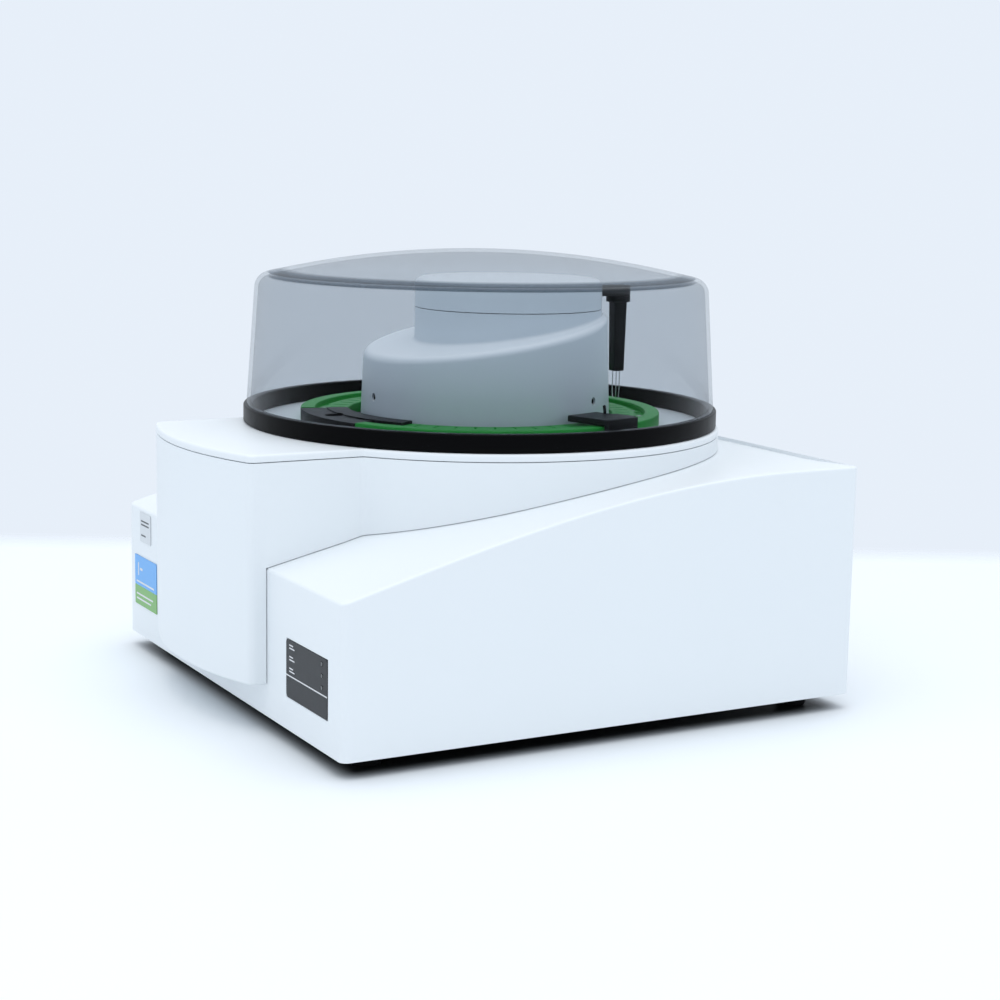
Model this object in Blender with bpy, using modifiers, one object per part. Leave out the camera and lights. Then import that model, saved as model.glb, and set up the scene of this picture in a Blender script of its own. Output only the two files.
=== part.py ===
"""Benchtop thermal analyser with a carousel autosampler under a clear dome.

Plan dimensions are in millimetres from the dome's axis, which stands at AXIS in the
part's own frame. Heights are in millimetres above the table. +Z is up, -Y is the front.
"""
import math

import bmesh
import bpy
from mathutils import Matrix, Vector

MM = 0.001
AXIS = (-25.0, 33.0)

# Outer casings
FOOT_HEIGHT = 12.0
LEFT, RIGHT = -192.0, 242.0
FRONT, REAR = -231.4, 196.0
BASE_FRONT_TOP, BASE_REAR_TOP = 120.9, 188.0
CREST_Y = 140.0
CORNER = 6.0
WALL = 3.0
GAP = 0.3
SEAM = 0.6

LAMP_HEIGHTS = (73.6, 65.3, 56.9)

# Round deck with its front extension
DECK_RADIUS = 192.0
NOSE_LEFT, NOSE_RIGHT, NOSE_FRONT = -86.0, 112.0, -262.0
NOSE_CURVE, NOSE_CORNER = 280.0, 7.0
NOSE_LOW = 35.5
DECK_LOW, DECK_TOP = 197.8, 203.4
TOP_OPENING = 170.0

# Dome
RING_OUTER, RING_INNER, RING_TOP = 190.0, 182.0, 217.3
DOME_FOOT, DOME_SHOULDER, DOME_WALL = 187.5, 181.0, 3.0
SHOULDER_Z, SHOULDER_RADIUS = 309.0, 12.0
CROWN_RADIUS = 732.0

# Carousel
TURNTABLE_RADIUS, TURNTABLE_LOW, TURNTABLE_TOP = 119.0, 197.0, 203.6
TRAY_INNER, TRAY_OUTER = 106.5, 144.5
TRAY_LOW, TRAY_GROOVE, TRAY_BAND, TRAY_RIM = 203.9, 209.5, 212.0, 213.8
RIM_INNER, BAND_OUTER = 133.0, 125.0
WELL_CIRCLE, WELL_RADIUS, WELL_PITCH_DEG = 129.0, 3.2, 7.5
WINDOW_HALF_DEG, WINDOW_CENTRE_DEG, WINDOW_RADIUS = 21.0, -90.0, 7.5
GEAR_MODULE, RING_TEETH, PINION_TEETH = 2.5, 90, 18
GEAR_LOW, GEAR_TOP = 186.0, 196.7
PINION_DISTANCE = GEAR_MODULE * (RING_TEETH + PINION_TEETH) / 2

# Tower and gripper head
TOWER_CENTRE, TOWER_FOOT_RADIUS, TOWER_TAPER = (0.0, 4.5), 100.5, 3.6
TOWER_LOW, TOWER_CEILING = 205.2, 300.0
LEDGE_FRONT_Z, LEDGE_SLOPE = 258.0, 0.165
SCREW_ANGLES, SCREW_Z = (-90, 30, 150), 226.0
DRUM_CENTRE, DRUM_RADIUS, DRUM_TOP = (0.0, 24.5), 75.5, 294.0
CAP_TOP = 318.0
ARM_LOW, ARM_TOP, ARM_WIDTH = 302.0, 310.0, 20.0
GRIPPER_Y = WELL_CIRCLE
GRIPPER_LOW, GRIPPER_TOP = 239.0, 297.0
GRIPPER_HALF, FLANGE_RADIUS, BORE_RADIUS = (4.8, 5.7), 10.0, 4.2
FINGER_TIP, FINGER_PIVOT, FINGER_CIRCLE, WIRE_RADIUS = 216.0, 246.0, 3.2, 0.45

# Inner frame, furnace and electronics
CHASSIS_LOW, CHASSIS_TOP, CHASSIS_RADIUS = 168.0, 171.0, 160.0
COLUMN_RADIUS = 58.0
FURNACE_Y, FURNACE_RADIUS, FURNACE_LOW = GRIPPER_Y, 28.0, 100.0
NECK_RADIUS, NECK_TOP = 9.0, 195.0
COVER_PIVOT = (26.0, 126.0)
TRAY_FLOOR = FOOT_HEIGHT + 2.3
PANEL_LEFT, PANEL_RIGHT, PANEL_LOW, PANEL_TOP, PANEL_DEPTH = -150.0, 200.0, 30.0, 165.0, 178.0
FAN_X, FAN_Z, FAN_RADIUS = 150.0, 100.0, 27.0
INLET_X, SWITCH_X = -115.0, -80.0
PORT_X = (-40.0, -15.0)
GAS_X = (30.0, 55.0)

PAINT = (0.82, 0.86, 0.88)
DARK = (0.02, 0.022, 0.025)
STEEL = (0.55, 0.56, 0.57)

parts = bpy.data.collections.new("thermal_analyser")
cutters = bpy.data.collections.new("cutters")


def clear_scene():
    for item in list(bpy.data.objects):
        bpy.data.objects.remove(item, do_unlink=True)
    for group in (parts, cutters):
        bpy.context.scene.collection.children.link(group)


def paint(item, colour, roughness=0.45, metallic=0.0, alpha=1.0):
    material = bpy.data.materials.new(item.name)
    material.use_nodes = True
    shader = material.node_tree.nodes["Principled BSDF"]
    shader.inputs["Base Color"].default_value = (*colour, 1.0)
    shader.inputs["Roughness"].default_value = roughness
    shader.inputs["Metallic"].default_value = metallic
    shader.inputs["Alpha"].default_value = alpha
    item.data.materials.clear()
    item.data.materials.append(material)
    return item


# ---------------------------------------------------------------- shape helpers

def add_object(name, mesh, centre=(0.0, 0.0), height=0.0):
    item = bpy.data.objects.new(name, mesh)
    item.location = Vector((AXIS[0] + centre[0], AXIS[1] + centre[1], height)) * MM
    parts.objects.link(item)
    return item


def from_bmesh(name, shape, centre=(0.0, 0.0), height=0.0):
    bmesh.ops.scale(shape, vec=(MM, MM, MM), verts=shape.verts)
    mesh = bpy.data.meshes.new(name)
    shape.to_mesh(mesh)
    shape.free()
    mesh.shade_smooth()
    mesh.set_sharp_from_angle(angle=math.radians(35))
    return add_object(name, mesh, centre, height)


def add_box(shape, low, high, turn=Matrix()):
    size = Vector(high) - Vector(low)
    middle = (Vector(high) + Vector(low)) / 2
    matrix = turn @ Matrix.Translation(middle) @ Matrix.Diagonal((*size, 1.0))
    bmesh.ops.create_cube(shape, size=1.0, matrix=matrix)


def add_cylinder(shape, radius, start, length, axis="Z", sides=24, end_radius=None, turn=Matrix()):
    """A cylinder or cone that runs from start along an axis."""
    facing = {"Z": Matrix(), "X": Matrix.Rotation(math.pi / 2, 4, "Y"),
              "Y": Matrix.Rotation(-math.pi / 2, 4, "X")}[axis]
    matrix = turn @ Matrix.Translation(start) @ facing @ Matrix.Translation((0, 0, length / 2))
    end_radius = radius if end_radius is None else end_radius
    bmesh.ops.create_cone(shape, cap_ends=True, segments=sides, radius1=radius,
                          radius2=end_radius, depth=length, matrix=matrix)


def boxes(name, spans, bevel=0.0):
    shape = bmesh.new()
    for low, high in spans:
        add_box(shape, low, high)
    item = from_bmesh(name, shape)
    if bevel:
        round_edges(item, bevel)
    return item


def box(name, low, high, bevel=0.0):
    return boxes(name, [(low, high)], bevel)


def rod(name, radius, low, high, centre=(0.0, 0.0), sides=32, end_radius=None):
    shape = bmesh.new()
    add_cylinder(shape, radius, (0, 0, low), high - low, sides=sides, end_radius=end_radius)
    return from_bmesh(name, shape, centre)


def rods(name, radius, low, high, centres, sides=16, end_radius=None):
    shape = bmesh.new()
    for x, y in centres:
        add_cylinder(shape, radius, (x, y, low), high - low, sides=sides, end_radius=end_radius)
    return from_bmesh(name, shape)


def turned(name, profile, centre=(0.0, 0.0), steps=48, closed=True):
    """A profile of (radius, height) points, down its outer side, spun about its centre."""
    shape = bmesh.new()
    points = [shape.verts.new((radius, 0.0, height)) for radius, height in profile]
    for first, second in zip(points, points[1:]):
        shape.edges.new((first, second))
    if closed:
        shape.edges.new((points[-1], points[0]))
    item = from_bmesh(name, shape, centre)
    screw = item.modifiers.new("turn", "SCREW")
    screw.angle = 2 * math.pi
    screw.steps = steps
    screw.render_steps = steps
    screw.use_merge_vertices = True
    screw.merge_threshold = 0.00001
    return item


def prism(name, outline, low, high, axis="Z", centre=(0.0, 0.0)):
    """A flat outline extruded from low to high along an axis."""
    curve = bpy.data.curves.new(name, "CURVE")
    curve.dimensions = "2D"
    curve.fill_mode = "BOTH"
    curve.extrude = (high - low) / 2 * MM
    spline = curve.splines.new("POLY")
    spline.points.add(len(outline) - 1)
    for point, (across, along) in zip(spline.points, outline):
        point.co = (across * MM, along * MM, 0.0, 1.0)
    spline.use_cyclic_u = True
    source = bpy.data.objects.new(name, curve)
    parts.objects.link(source)
    facing = {
        "Z": Matrix(),
        "X": Matrix(((0, 0, 1, 0), (1, 0, 0, 0), (0, 1, 0, 0), (0, 0, 0, 1))),
        "Y": Matrix(((1, 0, 0, 0), (0, 0, 1, 0), (0, 1, 0, 0), (0, 0, 0, 1))),
    }[axis]
    middle = (low + high) / 2 * MM
    shift = {"Z": (0, 0, middle), "X": (middle, 0, 0), "Y": (0, middle, 0)}[axis]
    depsgraph = bpy.context.evaluated_depsgraph_get()
    mesh = bpy.data.meshes.new_from_object(source.evaluated_get(depsgraph))
    bpy.data.objects.remove(source, do_unlink=True)
    shape = bmesh.new()
    shape.from_mesh(mesh)
    bmesh.ops.remove_doubles(shape, verts=shape.verts, dist=0.000001)
    bmesh.ops.transform(shape, matrix=Matrix.Translation(shift) @ facing, verts=shape.verts)
    bmesh.ops.recalc_face_normals(shape, faces=shape.faces)
    shape.to_mesh(mesh)
    shape.free()
    mesh.name = name
    mesh.shade_smooth()
    mesh.set_sharp_from_angle(angle=math.radians(35))
    return add_object(name, mesh, centre)


def round_edges(item, width, segments=1, angle=40):
    bevel = item.modifiers.new("edges", "BEVEL")
    bevel.width = width * MM
    bevel.segments = segments
    bevel.limit_method = "ANGLE"
    bevel.angle_limit = math.radians(angle)


def combine(target, operation, tools):
    for tool in tools:
        step = target.modifiers.new(operation.lower(), "BOOLEAN")
        step.operation = operation
        step.solver = "EXACT"
        step.object = tool
        tool.hide_render = True
        tool.display_type = "WIRE"
        if tool.name in parts.objects:
            parts.objects.unlink(tool)
            cutters.objects.link(tool)
    return target


def cut(target, *tools):
    return combine(target, "DIFFERENCE", tools)


def fuse(target, *tools):
    return combine(target, "UNION", tools)


def common(target, *tools):
    return combine(target, "INTERSECT", tools)


def arc(centre, radius, start_deg, end_deg, steps):
    points = []
    for step in range(steps + 1):
        angle = math.radians(start_deg + (end_deg - start_deg) * step / steps)
        points.append((centre[0] + radius * math.cos(angle), centre[1] + radius * math.sin(angle)))
    return points


def rounded_rectangle(left, right, low, top, radius, steps=4):
    corners = [((right - radius, low + radius), -90), ((right - radius, top - radius), 0),
               ((left + radius, top - radius), 90), ((left + radius, low + radius), 180)]
    points = []
    for centre, start in corners:
        points += arc(centre, radius, start, start + 90, steps)
    return points


def polar(radius, degrees):
    angle = math.radians(degrees)
    return (radius * math.cos(angle), radius * math.sin(angle))


def outline_of_deck(inset=0.0, steps=56):
    """The round deck and its front extension as one outline, moved inwards by inset."""
    radius, curve, corner = DECK_RADIUS - inset, NOSE_CURVE - inset, NOSE_CORNER
    left, right = NOSE_LEFT + inset, NOSE_RIGHT - inset
    centre = ((NOSE_LEFT + NOSE_RIGHT) / 2, NOSE_FRONT + NOSE_CURVE)
    half = right - centre[0] - corner
    corner_y = centre[1] - math.sqrt((curve - corner) ** 2 - half ** 2)
    lean = math.degrees(math.atan2(centre[1] - corner_y, half))
    join_right = math.degrees(math.acos(right / radius))
    join_left = math.degrees(math.acos(-left / radius))
    points = arc((0, 0), radius, -join_right, 180 + join_left, steps)
    points += arc((left + corner, corner_y), corner, 180, 180 + lean, 4)
    points += arc(centre, curve, 180 + lean, 360 - lean, 10)[1:-1]
    points += arc((right - corner, corner_y), corner, -lean, 0, 4)
    return points


def base_height(y):
    """Height of the base's top, which climbs from the front as a quarter sine wave."""
    climb = min(1.0, (y - FRONT) / (CREST_Y - FRONT))
    return BASE_FRONT_TOP + (BASE_REAR_TOP - BASE_FRONT_TOP) * math.sin(climb * math.pi / 2)


def base_profile(inset, low, top_shift=0.0, steps=16):
    front, rear = FRONT + inset, REAR - inset
    lift = top_shift - inset
    top = [(front + (CREST_Y - front) * step / steps) for step in range(steps + 1)]
    points = [(front, low), (rear, low), (rear, BASE_REAR_TOP + lift)]
    points += [(y, base_height(y) + lift) for y in reversed(top)]
    return points


def wedge(name, inset, low):
    """The base's wedge shape with rounded upright corners."""
    body = prism(name, base_profile(inset, low), LEFT + inset, RIGHT - inset, "X")
    corners = prism(name + "_plan", rounded_rectangle(LEFT + inset, RIGHT - inset, FRONT + inset,
                    REAR - inset, CORNER - inset), low - 5, BASE_REAR_TOP + 5)
    return common(body, corners)


# ---------------------------------------------------------------- casings

def make_base_housing():
    shell = wedge("base_housing", 0.0, FOOT_HEIGHT)
    cavity = wedge("base_cavity", WALL, FOOT_HEIGHT - 10)
    opening = rod("base_top_opening", TOP_OPENING, 125, 260, sides=72)
    rear = box("base_rear_opening", (PANEL_LEFT, REAR - 20, PANEL_LOW),
               (PANEL_RIGHT, REAR + 20, PANEL_TOP))
    pocket = prism("status_pocket", rounded_rectangle(147.4, 219.0, 35.7, 78.6, 3.3, 2),
                   FRONT - 5, FRONT + 1.2, "Y")
    cut(shell, cavity, opening, rear, pocket)
    return paint(shell, PAINT)


def make_upper_housing():
    shell = prism("upper_housing", outline_of_deck(), NOSE_LOW, DECK_LOW - SEAM)
    hollow = prism("upper_hollow", outline_of_deck(WALL), NOSE_LOW + WALL, DECK_LOW + 10)
    below = prism("upper_underside", base_profile(-SEAM, -20), LEFT - 50, RIGHT + 50, "X")
    cut(shell, hollow, below)
    return paint(shell, PAINT)


def make_deck():
    deck = prism("deck_plate", outline_of_deck(), DECK_LOW, DECK_TOP)
    opening = rod("deck_opening", TURNTABLE_RADIUS + 1, DECK_LOW - 5, DECK_TOP + 5, sides=48)
    port = rod("deck_port", WINDOW_RADIUS + 0.5, DECK_LOW - 5, DECK_TOP + 5, (0, FURNACE_Y))
    cut(deck, opening, port)
    return paint(deck, PAINT)


def make_bottom():
    inset = WALL + 0.5
    tray = prism("bottom_tray", rounded_rectangle(LEFT + inset, RIGHT - inset, FRONT + inset,
                 REAR - inset, CORNER - inset), FOOT_HEIGHT + GAP, TRAY_FLOOR)
    slots = [((130 + 14 * n, 0, 0), (136 + 14 * n, 80, 30)) for n in range(6)]
    cut(tray, boxes("tray_slots", slots))
    paint(tray, STEEL, 0.5, 0.8)
    places = [(LEFT + 32, FRONT + 32), (RIGHT - 32, FRONT + 32),
              (RIGHT - 32, REAR - 32), (LEFT + 32, REAR - 32)]
    for number, place in enumerate(places, 1):
        paint(rod(f"foot_{number}", 11, 0, FOOT_HEIGHT, place, 24, 13), DARK, 0.9)


def make_front_trim():
    panel = prism("status_panel", rounded_rectangle(147.7, 218.7, 36.0, 78.3, 3, 2),
                  FRONT - 0.4, FRONT + 0.9, "Y")
    lamps = [((208.2, FRONT - 5, z - 1.7), (211.6, FRONT + 5, z + 1.7)) for z in LAMP_HEIGHTS]
    cut(panel, boxes("lamp_holes", lamps))
    paint(panel, (0.045, 0.05, 0.053), 0.35)
    for number, z in enumerate(LAMP_HEIGHTS, 1):
        lens = box(f"status_lamp_{number}", (208.5, FRONT - 0.7, z - 1.4), (211.3, FRONT + 0.8, z + 1.4))
        paint(lens, (0.01, 0.02, 0.012), 0.15)
    label = prism("colour_label", rounded_rectangle(-176.8, -123.6, 38.0, 80.0, 1.5, 1),
                  FRONT - 0.6, FRONT - GAP, "Y")
    paint(label, (0.28, 0.52, 0.73), 0.4)
    tag = box("blank_tag", (-163, FRONT - 0.6, 93), (-137, FRONT - GAP, 118))
    paint(tag, (0.75, 0.77, 0.78), 0.5)


# ---------------------------------------------------------------- rear services

def make_rear_panel():
    outer = box("rear_panel", (PANEL_LEFT + 0.5, PANEL_DEPTH, PANEL_LOW + 0.5),
                (PANEL_RIGHT - 0.5, REAR, PANEL_TOP - 0.5))
    inner = box("rear_recess", (PANEL_LEFT + 2.5, PANEL_DEPTH + 2, PANEL_LOW + 2.5),
                (PANEL_RIGHT - 2.5, REAR + 20, PANEL_TOP - 2.5))
    holes = bmesh.new()
    add_cylinder(holes, FAN_RADIUS, (FAN_X, PANEL_DEPTH - 5, FAN_Z), 20, "Y", 32)
    for x in GAS_X:
        add_cylinder(holes, 4.5, (x, PANEL_DEPTH - 5, 130), 20, "Y", 16)
    add_box(holes, (INLET_X - 14.3, PANEL_DEPTH - 5, 49.7), (INLET_X + 14.3, REAR, 70.3))
    add_box(holes, (SWITCH_X - 7.3, PANEL_DEPTH - 5, 47.7), (SWITCH_X + 7.3, REAR, 72.3))
    for x in PORT_X:
        add_box(holes, (x - 8.3, PANEL_DEPTH - 5, 52.7), (x + 8.3, REAR, 67.3))
    cut(outer, inner, from_bmesh("rear_holes", holes))
    paint(outer, (0.62, 0.65, 0.67), 0.5)


def make_services():
    inlet = box("power_inlet", (INLET_X - 14, PANEL_DEPTH - 14, 50),
                (INLET_X + 14, PANEL_DEPTH + 5, 70), 1.0)
    socket = box("inlet_socket", (INLET_X - 11, PANEL_DEPTH - 11, 53), (INLET_X + 11, REAR, 67))
    pins = [((INLET_X + dx - 1, PANEL_DEPTH - 12, z - 2), (INLET_X + dx + 1, PANEL_DEPTH - 2, z + 2))
            for dx, z in ((-6, 59), (0, 62), (6, 59))]
    fuse(cut(inlet, socket), boxes("inlet_pins", pins))
    paint(inlet, DARK, 0.5)
    frame = box("switch_frame", (SWITCH_X - 7, PANEL_DEPTH - 12, 48),
                (SWITCH_X + 7, PANEL_DEPTH + 4, 72), 0.8)
    hollow = box("switch_hollow", (SWITCH_X - 5.2, PANEL_DEPTH - 9, 50), (SWITCH_X + 5.2, REAR, 70))
    cut(frame, hollow)
    paint(frame, DARK, 0.5)
    rocker_side = [(-3, -8.2), (5.5, -8.6), (3.2, 0), (5.5, 8.6), (-3, 8.2)]
    rocker = prism("power_switch", rocker_side, -4.8, 4.8, "X", (SWITCH_X, PANEL_DEPTH + 0.5))
    rocker.location.z = 60 * MM
    rocker.rotation_euler.x = math.radians(-12)
    paint(rocker, (0.03, 0.03, 0.035), 0.35)
    for number, x in enumerate(PORT_X, 1):
        port = box(f"data_port_{number}", (x - 8, PANEL_DEPTH - 10, 53), (x + 8, PANEL_DEPTH + 4, 67))
        cut(port, box(f"port_well_{number}", (x - 6, PANEL_DEPTH - 6, 55.5), (x + 6, REAR, 64.5)))
        paint(port, STEEL, 0.35, 1.0)
    for number, x in enumerate(GAS_X, 1):
        nut, stem = bmesh.new(), bmesh.new()
        add_cylinder(nut, 6.5, (x, PANEL_DEPTH + 2.3, 130), 5, "Y", 6)
        add_cylinder(stem, 4.2, (x, PANEL_DEPTH - 8, 130), 23, "Y", 16, 2.8)
        fitting = fuse(from_bmesh(f"gas_fitting_{number}", nut), from_bmesh(f"gas_stem_{number}", stem))
        paint(fitting, (0.75, 0.55, 0.25), 0.3, 1.0)


def make_fan():
    frame = box("fan_frame", (FAN_X - 30, PANEL_DEPTH - 15.3, FAN_Z - 30),
                (FAN_X + 30, PANEL_DEPTH - GAP, FAN_Z + 30), 2.0)
    bore = bmesh.new()
    add_cylinder(bore, FAN_RADIUS, (FAN_X, PANEL_DEPTH - 20, FAN_Z), 30, "Y", 32)
    stator = bmesh.new()
    back = PANEL_DEPTH - 15.0
    add_cylinder(stator, 9, (FAN_X, back, FAN_Z), 2.4, "Y", 24)
    across = box("fan_arm_across", (FAN_X - 28, back + 0.3, FAN_Z - 1.5),
                 (FAN_X + 28, back + 1.8, FAN_Z + 1.5))
    upright = box("fan_arm_upright", (FAN_X - 1.5, back + 0.4, FAN_Z - 28),
                  (FAN_X + 1.5, back + 1.9, FAN_Z + 28))
    cut(frame, from_bmesh("fan_bore", bore))
    fuse(frame, across, upright, from_bmesh("fan_stator", stator))
    paint(frame, DARK, 0.6)
    make_fan_rotor()
    plate = prism("fan_grille", rounded_rectangle(FAN_X - 30, FAN_X + 30, FAN_Z - 30, FAN_Z + 30, 4, 2),
                  PANEL_DEPTH + 2.3, PANEL_DEPTH + 3.8, "Y")
    slots = []
    for column in range(-4, 5):
        reach = math.sqrt(25 ** 2 - (column * 5.6) ** 2)
        for side in (-1, 1):
            near, far = FAN_Z + side * 1.5, FAN_Z + side * reach
            slots.append(((FAN_X + column * 5.6 - 1.8, PANEL_DEPTH, min(near, far)),
                          (FAN_X + column * 5.6 + 1.8, REAR, max(near, far))))
    cut(plate, boxes("grille_slots", slots))
    paint(plate, STEEL, 0.4, 0.9)


def make_fan_rotor():
    middle = (FAN_X, PANEL_DEPTH - 7, FAN_Z)
    hub = bmesh.new()
    add_cylinder(hub, 9, (0, -5, 0), 10, "Y", 21)
    rotor = from_bmesh("fan_rotor", hub, middle[:2], middle[2])
    rotor.location.z = middle[2] * MM
    for blade in range(7):
        shape = bmesh.new()
        turn = (Matrix.Rotation(blade * 2 * math.pi / 7, 4, "Y")
                @ Matrix.Rotation(math.radians(35), 4, "Z"))
        add_box(shape, (-0.8, -5.2, 7.5), (0.8, 5.2, 24.5), turn)
        vane = from_bmesh(f"fan_vane_{blade}", shape, middle[:2])
        vane.location.z = middle[2] * MM
        fuse(rotor, vane)
    paint(rotor, DARK, 0.5)


# ---------------------------------------------------------------- inner frame and electronics

def make_chassis():
    plate = rod("chassis", CHASSIS_RADIUS, CHASSIS_LOW, CHASSIS_TOP, sides=32)
    holes = bmesh.new()
    add_cylinder(holes, NECK_RADIUS + 1, (0, FURNACE_Y, CHASSIS_LOW - 5), 20)
    add_cylinder(holes, 9, (0, -PINION_DISTANCE, CHASSIS_LOW - 5), 20)
    corners = [(108, 108), (-108, 108), (-108, -108), (108, -108)]
    posts = rods("chassis_posts", 5, TRAY_FLOOR + GAP, CHASSIS_LOW + 1, corners, 12)
    fuse(cut(plate, from_bmesh("chassis_holes", holes)), posts)
    paint(plate, STEEL, 0.45, 0.9)


def make_electronics():
    board = box("main_board", (-150, -150, 24), (90, 80, 25.6))
    hole_span = [((x - 6, y - 6, 20), (x + 6, y + 6, 30)) for x, y in ((-108, -108),)]
    cut(board, boxes("board_notches", hole_span))
    paint(board, (0.03, 0.2, 0.09), 0.5)
    standoffs = [(-140, -140), (80, -140), (80, 70), (-140, 70)]
    fuse(board, rods("board_standoffs", 3, TRAY_FLOOR + GAP, 25, standoffs, 8))
    chips = [((-90, -60, 25), (-60, -30, 29)), ((-30, -60, 25), (-10, -25, 30)),
             ((20, -110, 25), (60, -90, 40)), ((-60, 20, 25), (-20, 50, 38)),
             ((20, -30, 25), (45, -5, 34)), ((50, 20, 25), (75, 60, 42))]
    fuse(board, boxes("board_chips", chips))
    supply = box("power_supply", (125, -60, TRAY_FLOOR + GAP), (225, 110, 62), 1.5)
    paint(supply, STEEL, 0.4, 0.9)


def make_furnace():
    centre = (0, FURNACE_Y)
    block = rod("furnace_block", FURNACE_RADIUS, FURNACE_LOW, CHASSIS_LOW - GAP, centre, 40)
    paint(block, (0.6, 0.61, 0.62), 0.35, 1.0)
    neck = rod("furnace_neck", NECK_RADIUS, CHASSIS_LOW + GAP, NECK_TOP, centre, 32)
    cell = rod("furnace_cell", NECK_RADIUS - 3, NECK_TOP - 18, NECK_TOP + 5, centre, 24)
    cut(neck, cell)
    paint(neck, (0.65, 0.63, 0.6), 0.3, 1.0)
    comb = [(-26, 60), (26, 60), (26, 99.7), (-26, 99.7)]
    sink = prism("heat_sink", comb, FURNACE_Y - 26, FURNACE_Y + 26, "Y")
    spans = [((-23 + 8 * n, FURNACE_Y - 40, 50), (-18 + 8 * n, FURNACE_Y + 40, 92)) for n in range(6)]
    cut(sink, boxes("sink_slots", spans))
    paint(sink, (0.5, 0.51, 0.52), 0.4, 1.0)
    pin = rod("cover_pivot", 2, CHASSIS_TOP + GAP, DECK_LOW - GAP, COVER_PIVOT, 16)
    paint(pin, STEEL, 0.3, 1.0)
    make_furnace_cover()


def make_furnace_cover():
    reach = Vector((0 - COVER_PIVOT[0], FURNACE_Y - COVER_PIVOT[1]))
    low, high = NECK_TOP + 0.5, DECK_LOW - 0.6
    disc = NECK_RADIUS + 0.4
    cover = rod("furnace_cover", disc, low, high, COVER_PIVOT, 32)
    shape = bmesh.new()
    angle = math.atan2(reach.y, reach.x)
    add_box(shape, (0, -3, low), (reach.length, 3, high), Matrix.Rotation(angle, 4, "Z"))
    arm = from_bmesh("cover_arm", shape, COVER_PIVOT)
    lug = rod("cover_lug", 5, low, high, COVER_PIVOT, 24)
    bore = rod("cover_bore", 2.4, low - 5, high + 5, COVER_PIVOT, 24)
    for vertex in cover.data.vertices:
        vertex.co.x += reach.x * MM
        vertex.co.y += reach.y * MM
    cut(fuse(cover, arm, lug), bore)
    paint(cover, (0.65, 0.63, 0.6), 0.3, 1.0)


# ---------------------------------------------------------------- carousel

def gear_outline(teeth, radii, backlash=0.35, phase_deg=0.0):
    """Involute gear outline, with each flank drawn through the given radii."""
    pitch = GEAR_MODULE * teeth / 2
    base = pitch * math.cos(math.radians(20))
    half = math.pi / (2 * teeth) - backlash / (2 * pitch)

    def involute(radius):
        pressure = math.acos(min(1.0, base / radius))
        return math.tan(pressure) - pressure

    flank = [(radius, half + involute(pitch) - involute(radius)) for radius in radii]
    points = []
    for tooth in range(teeth):
        middle = 2 * math.pi * tooth / teeth + math.radians(phase_deg)
        sides = [(radius, middle - turn) for radius, turn in flank]
        sides += [(radius, middle + turn) for radius, turn in reversed(flank)]
        points += [(radius * math.cos(angle), radius * math.sin(angle)) for radius, angle in sides]
    return points


def make_drive():
    ring_pitch = GEAR_MODULE * RING_TEETH / 2
    ring_radii = (ring_pitch - 1.25 * GEAR_MODULE, ring_pitch + 0.9 * GEAR_MODULE)
    ring = prism("ring_gear", gear_outline(RING_TEETH, ring_radii), GEAR_LOW, GEAR_TOP)
    cut(ring, rod("ring_gear_bore", 100, GEAR_LOW - 5, GEAR_TOP + 5, sides=48))
    paint(ring, (0.8, 0.78, 0.7), 0.5)
    pitch = GEAR_MODULE * PINION_TEETH / 2
    radii = (pitch - 1.25 * GEAR_MODULE, pitch - 0.4 * GEAR_MODULE, pitch, pitch + 0.9 * GEAR_MODULE)
    outline = gear_outline(PINION_TEETH, radii, phase_deg=180 / PINION_TEETH)
    centre = (0.0, -PINION_DISTANCE)
    pinion = prism("drive_pinion", outline, GEAR_LOW + 0.5, GEAR_TOP - 0.5, centre=centre)
    fuse(pinion, rod("pinion_shaft", 3, 150, GEAR_LOW + 2, centre, 16))
    paint(pinion, (0.72, 0.6, 0.3), 0.35, 1.0)
    motor = box("carousel_motor", (-21, -PINION_DISTANCE - 21, 118),
                (21, -PINION_DISTANCE + 21, 158), 3.0)
    cut(motor, rod("motor_bore", 3.5, 145, 200, centre, 16))
    paint(motor, (0.08, 0.08, 0.085), 0.4, 0.6)
    bracket = box("motor_bracket", (-26, -PINION_DISTANCE - 24, 158.3),
                  (26, -PINION_DISTANCE + 24, CHASSIS_LOW - GAP))
    cut(bracket, rod("bracket_bore", 15, 150, 200, centre, 24))
    paint(bracket, STEEL, 0.45, 0.9)


def make_turntable():
    disc = turned("turntable", [(TURNTABLE_RADIUS, TURNTABLE_TOP), (TURNTABLE_RADIUS, TURNTABLE_LOW),
                                (69, TURNTABLE_LOW), (69, TURNTABLE_TOP)])
    paint(disc, (0.1, 0.1, 0.105), 0.5)
    bearing = turned("turntable_bearing", [(68.6, 203), (68.6, 192), (COLUMN_RADIUS + 0.4, 192),
                                           (COLUMN_RADIUS + 0.4, 203)], steps=32)
    paint(bearing, STEEL, 0.25, 1.0)


def window_sector(name, half_deg, reach=170.0):
    start, end = WINDOW_CENTRE_DEG - half_deg, WINDOW_CENTRE_DEG + half_deg
    return prism(name, [polar(40.0, start), polar(reach, start), polar(reach, WINDOW_CENTRE_DEG),
                        polar(reach, end), polar(40.0, end)], TRAY_LOW - 10, TRAY_RIM + 10)


def well_places():
    count = int(360 / WELL_PITCH_DEG)
    angles = [WINDOW_CENTRE_DEG + WELL_PITCH_DEG * step for step in range(count)]
    keep = [angle for angle in angles
            if WINDOW_HALF_DEG + 2 < angle - WINDOW_CENTRE_DEG < 358 - WINDOW_HALF_DEG]
    return [polar(WELL_CIRCLE, angle) for angle in keep]


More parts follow.
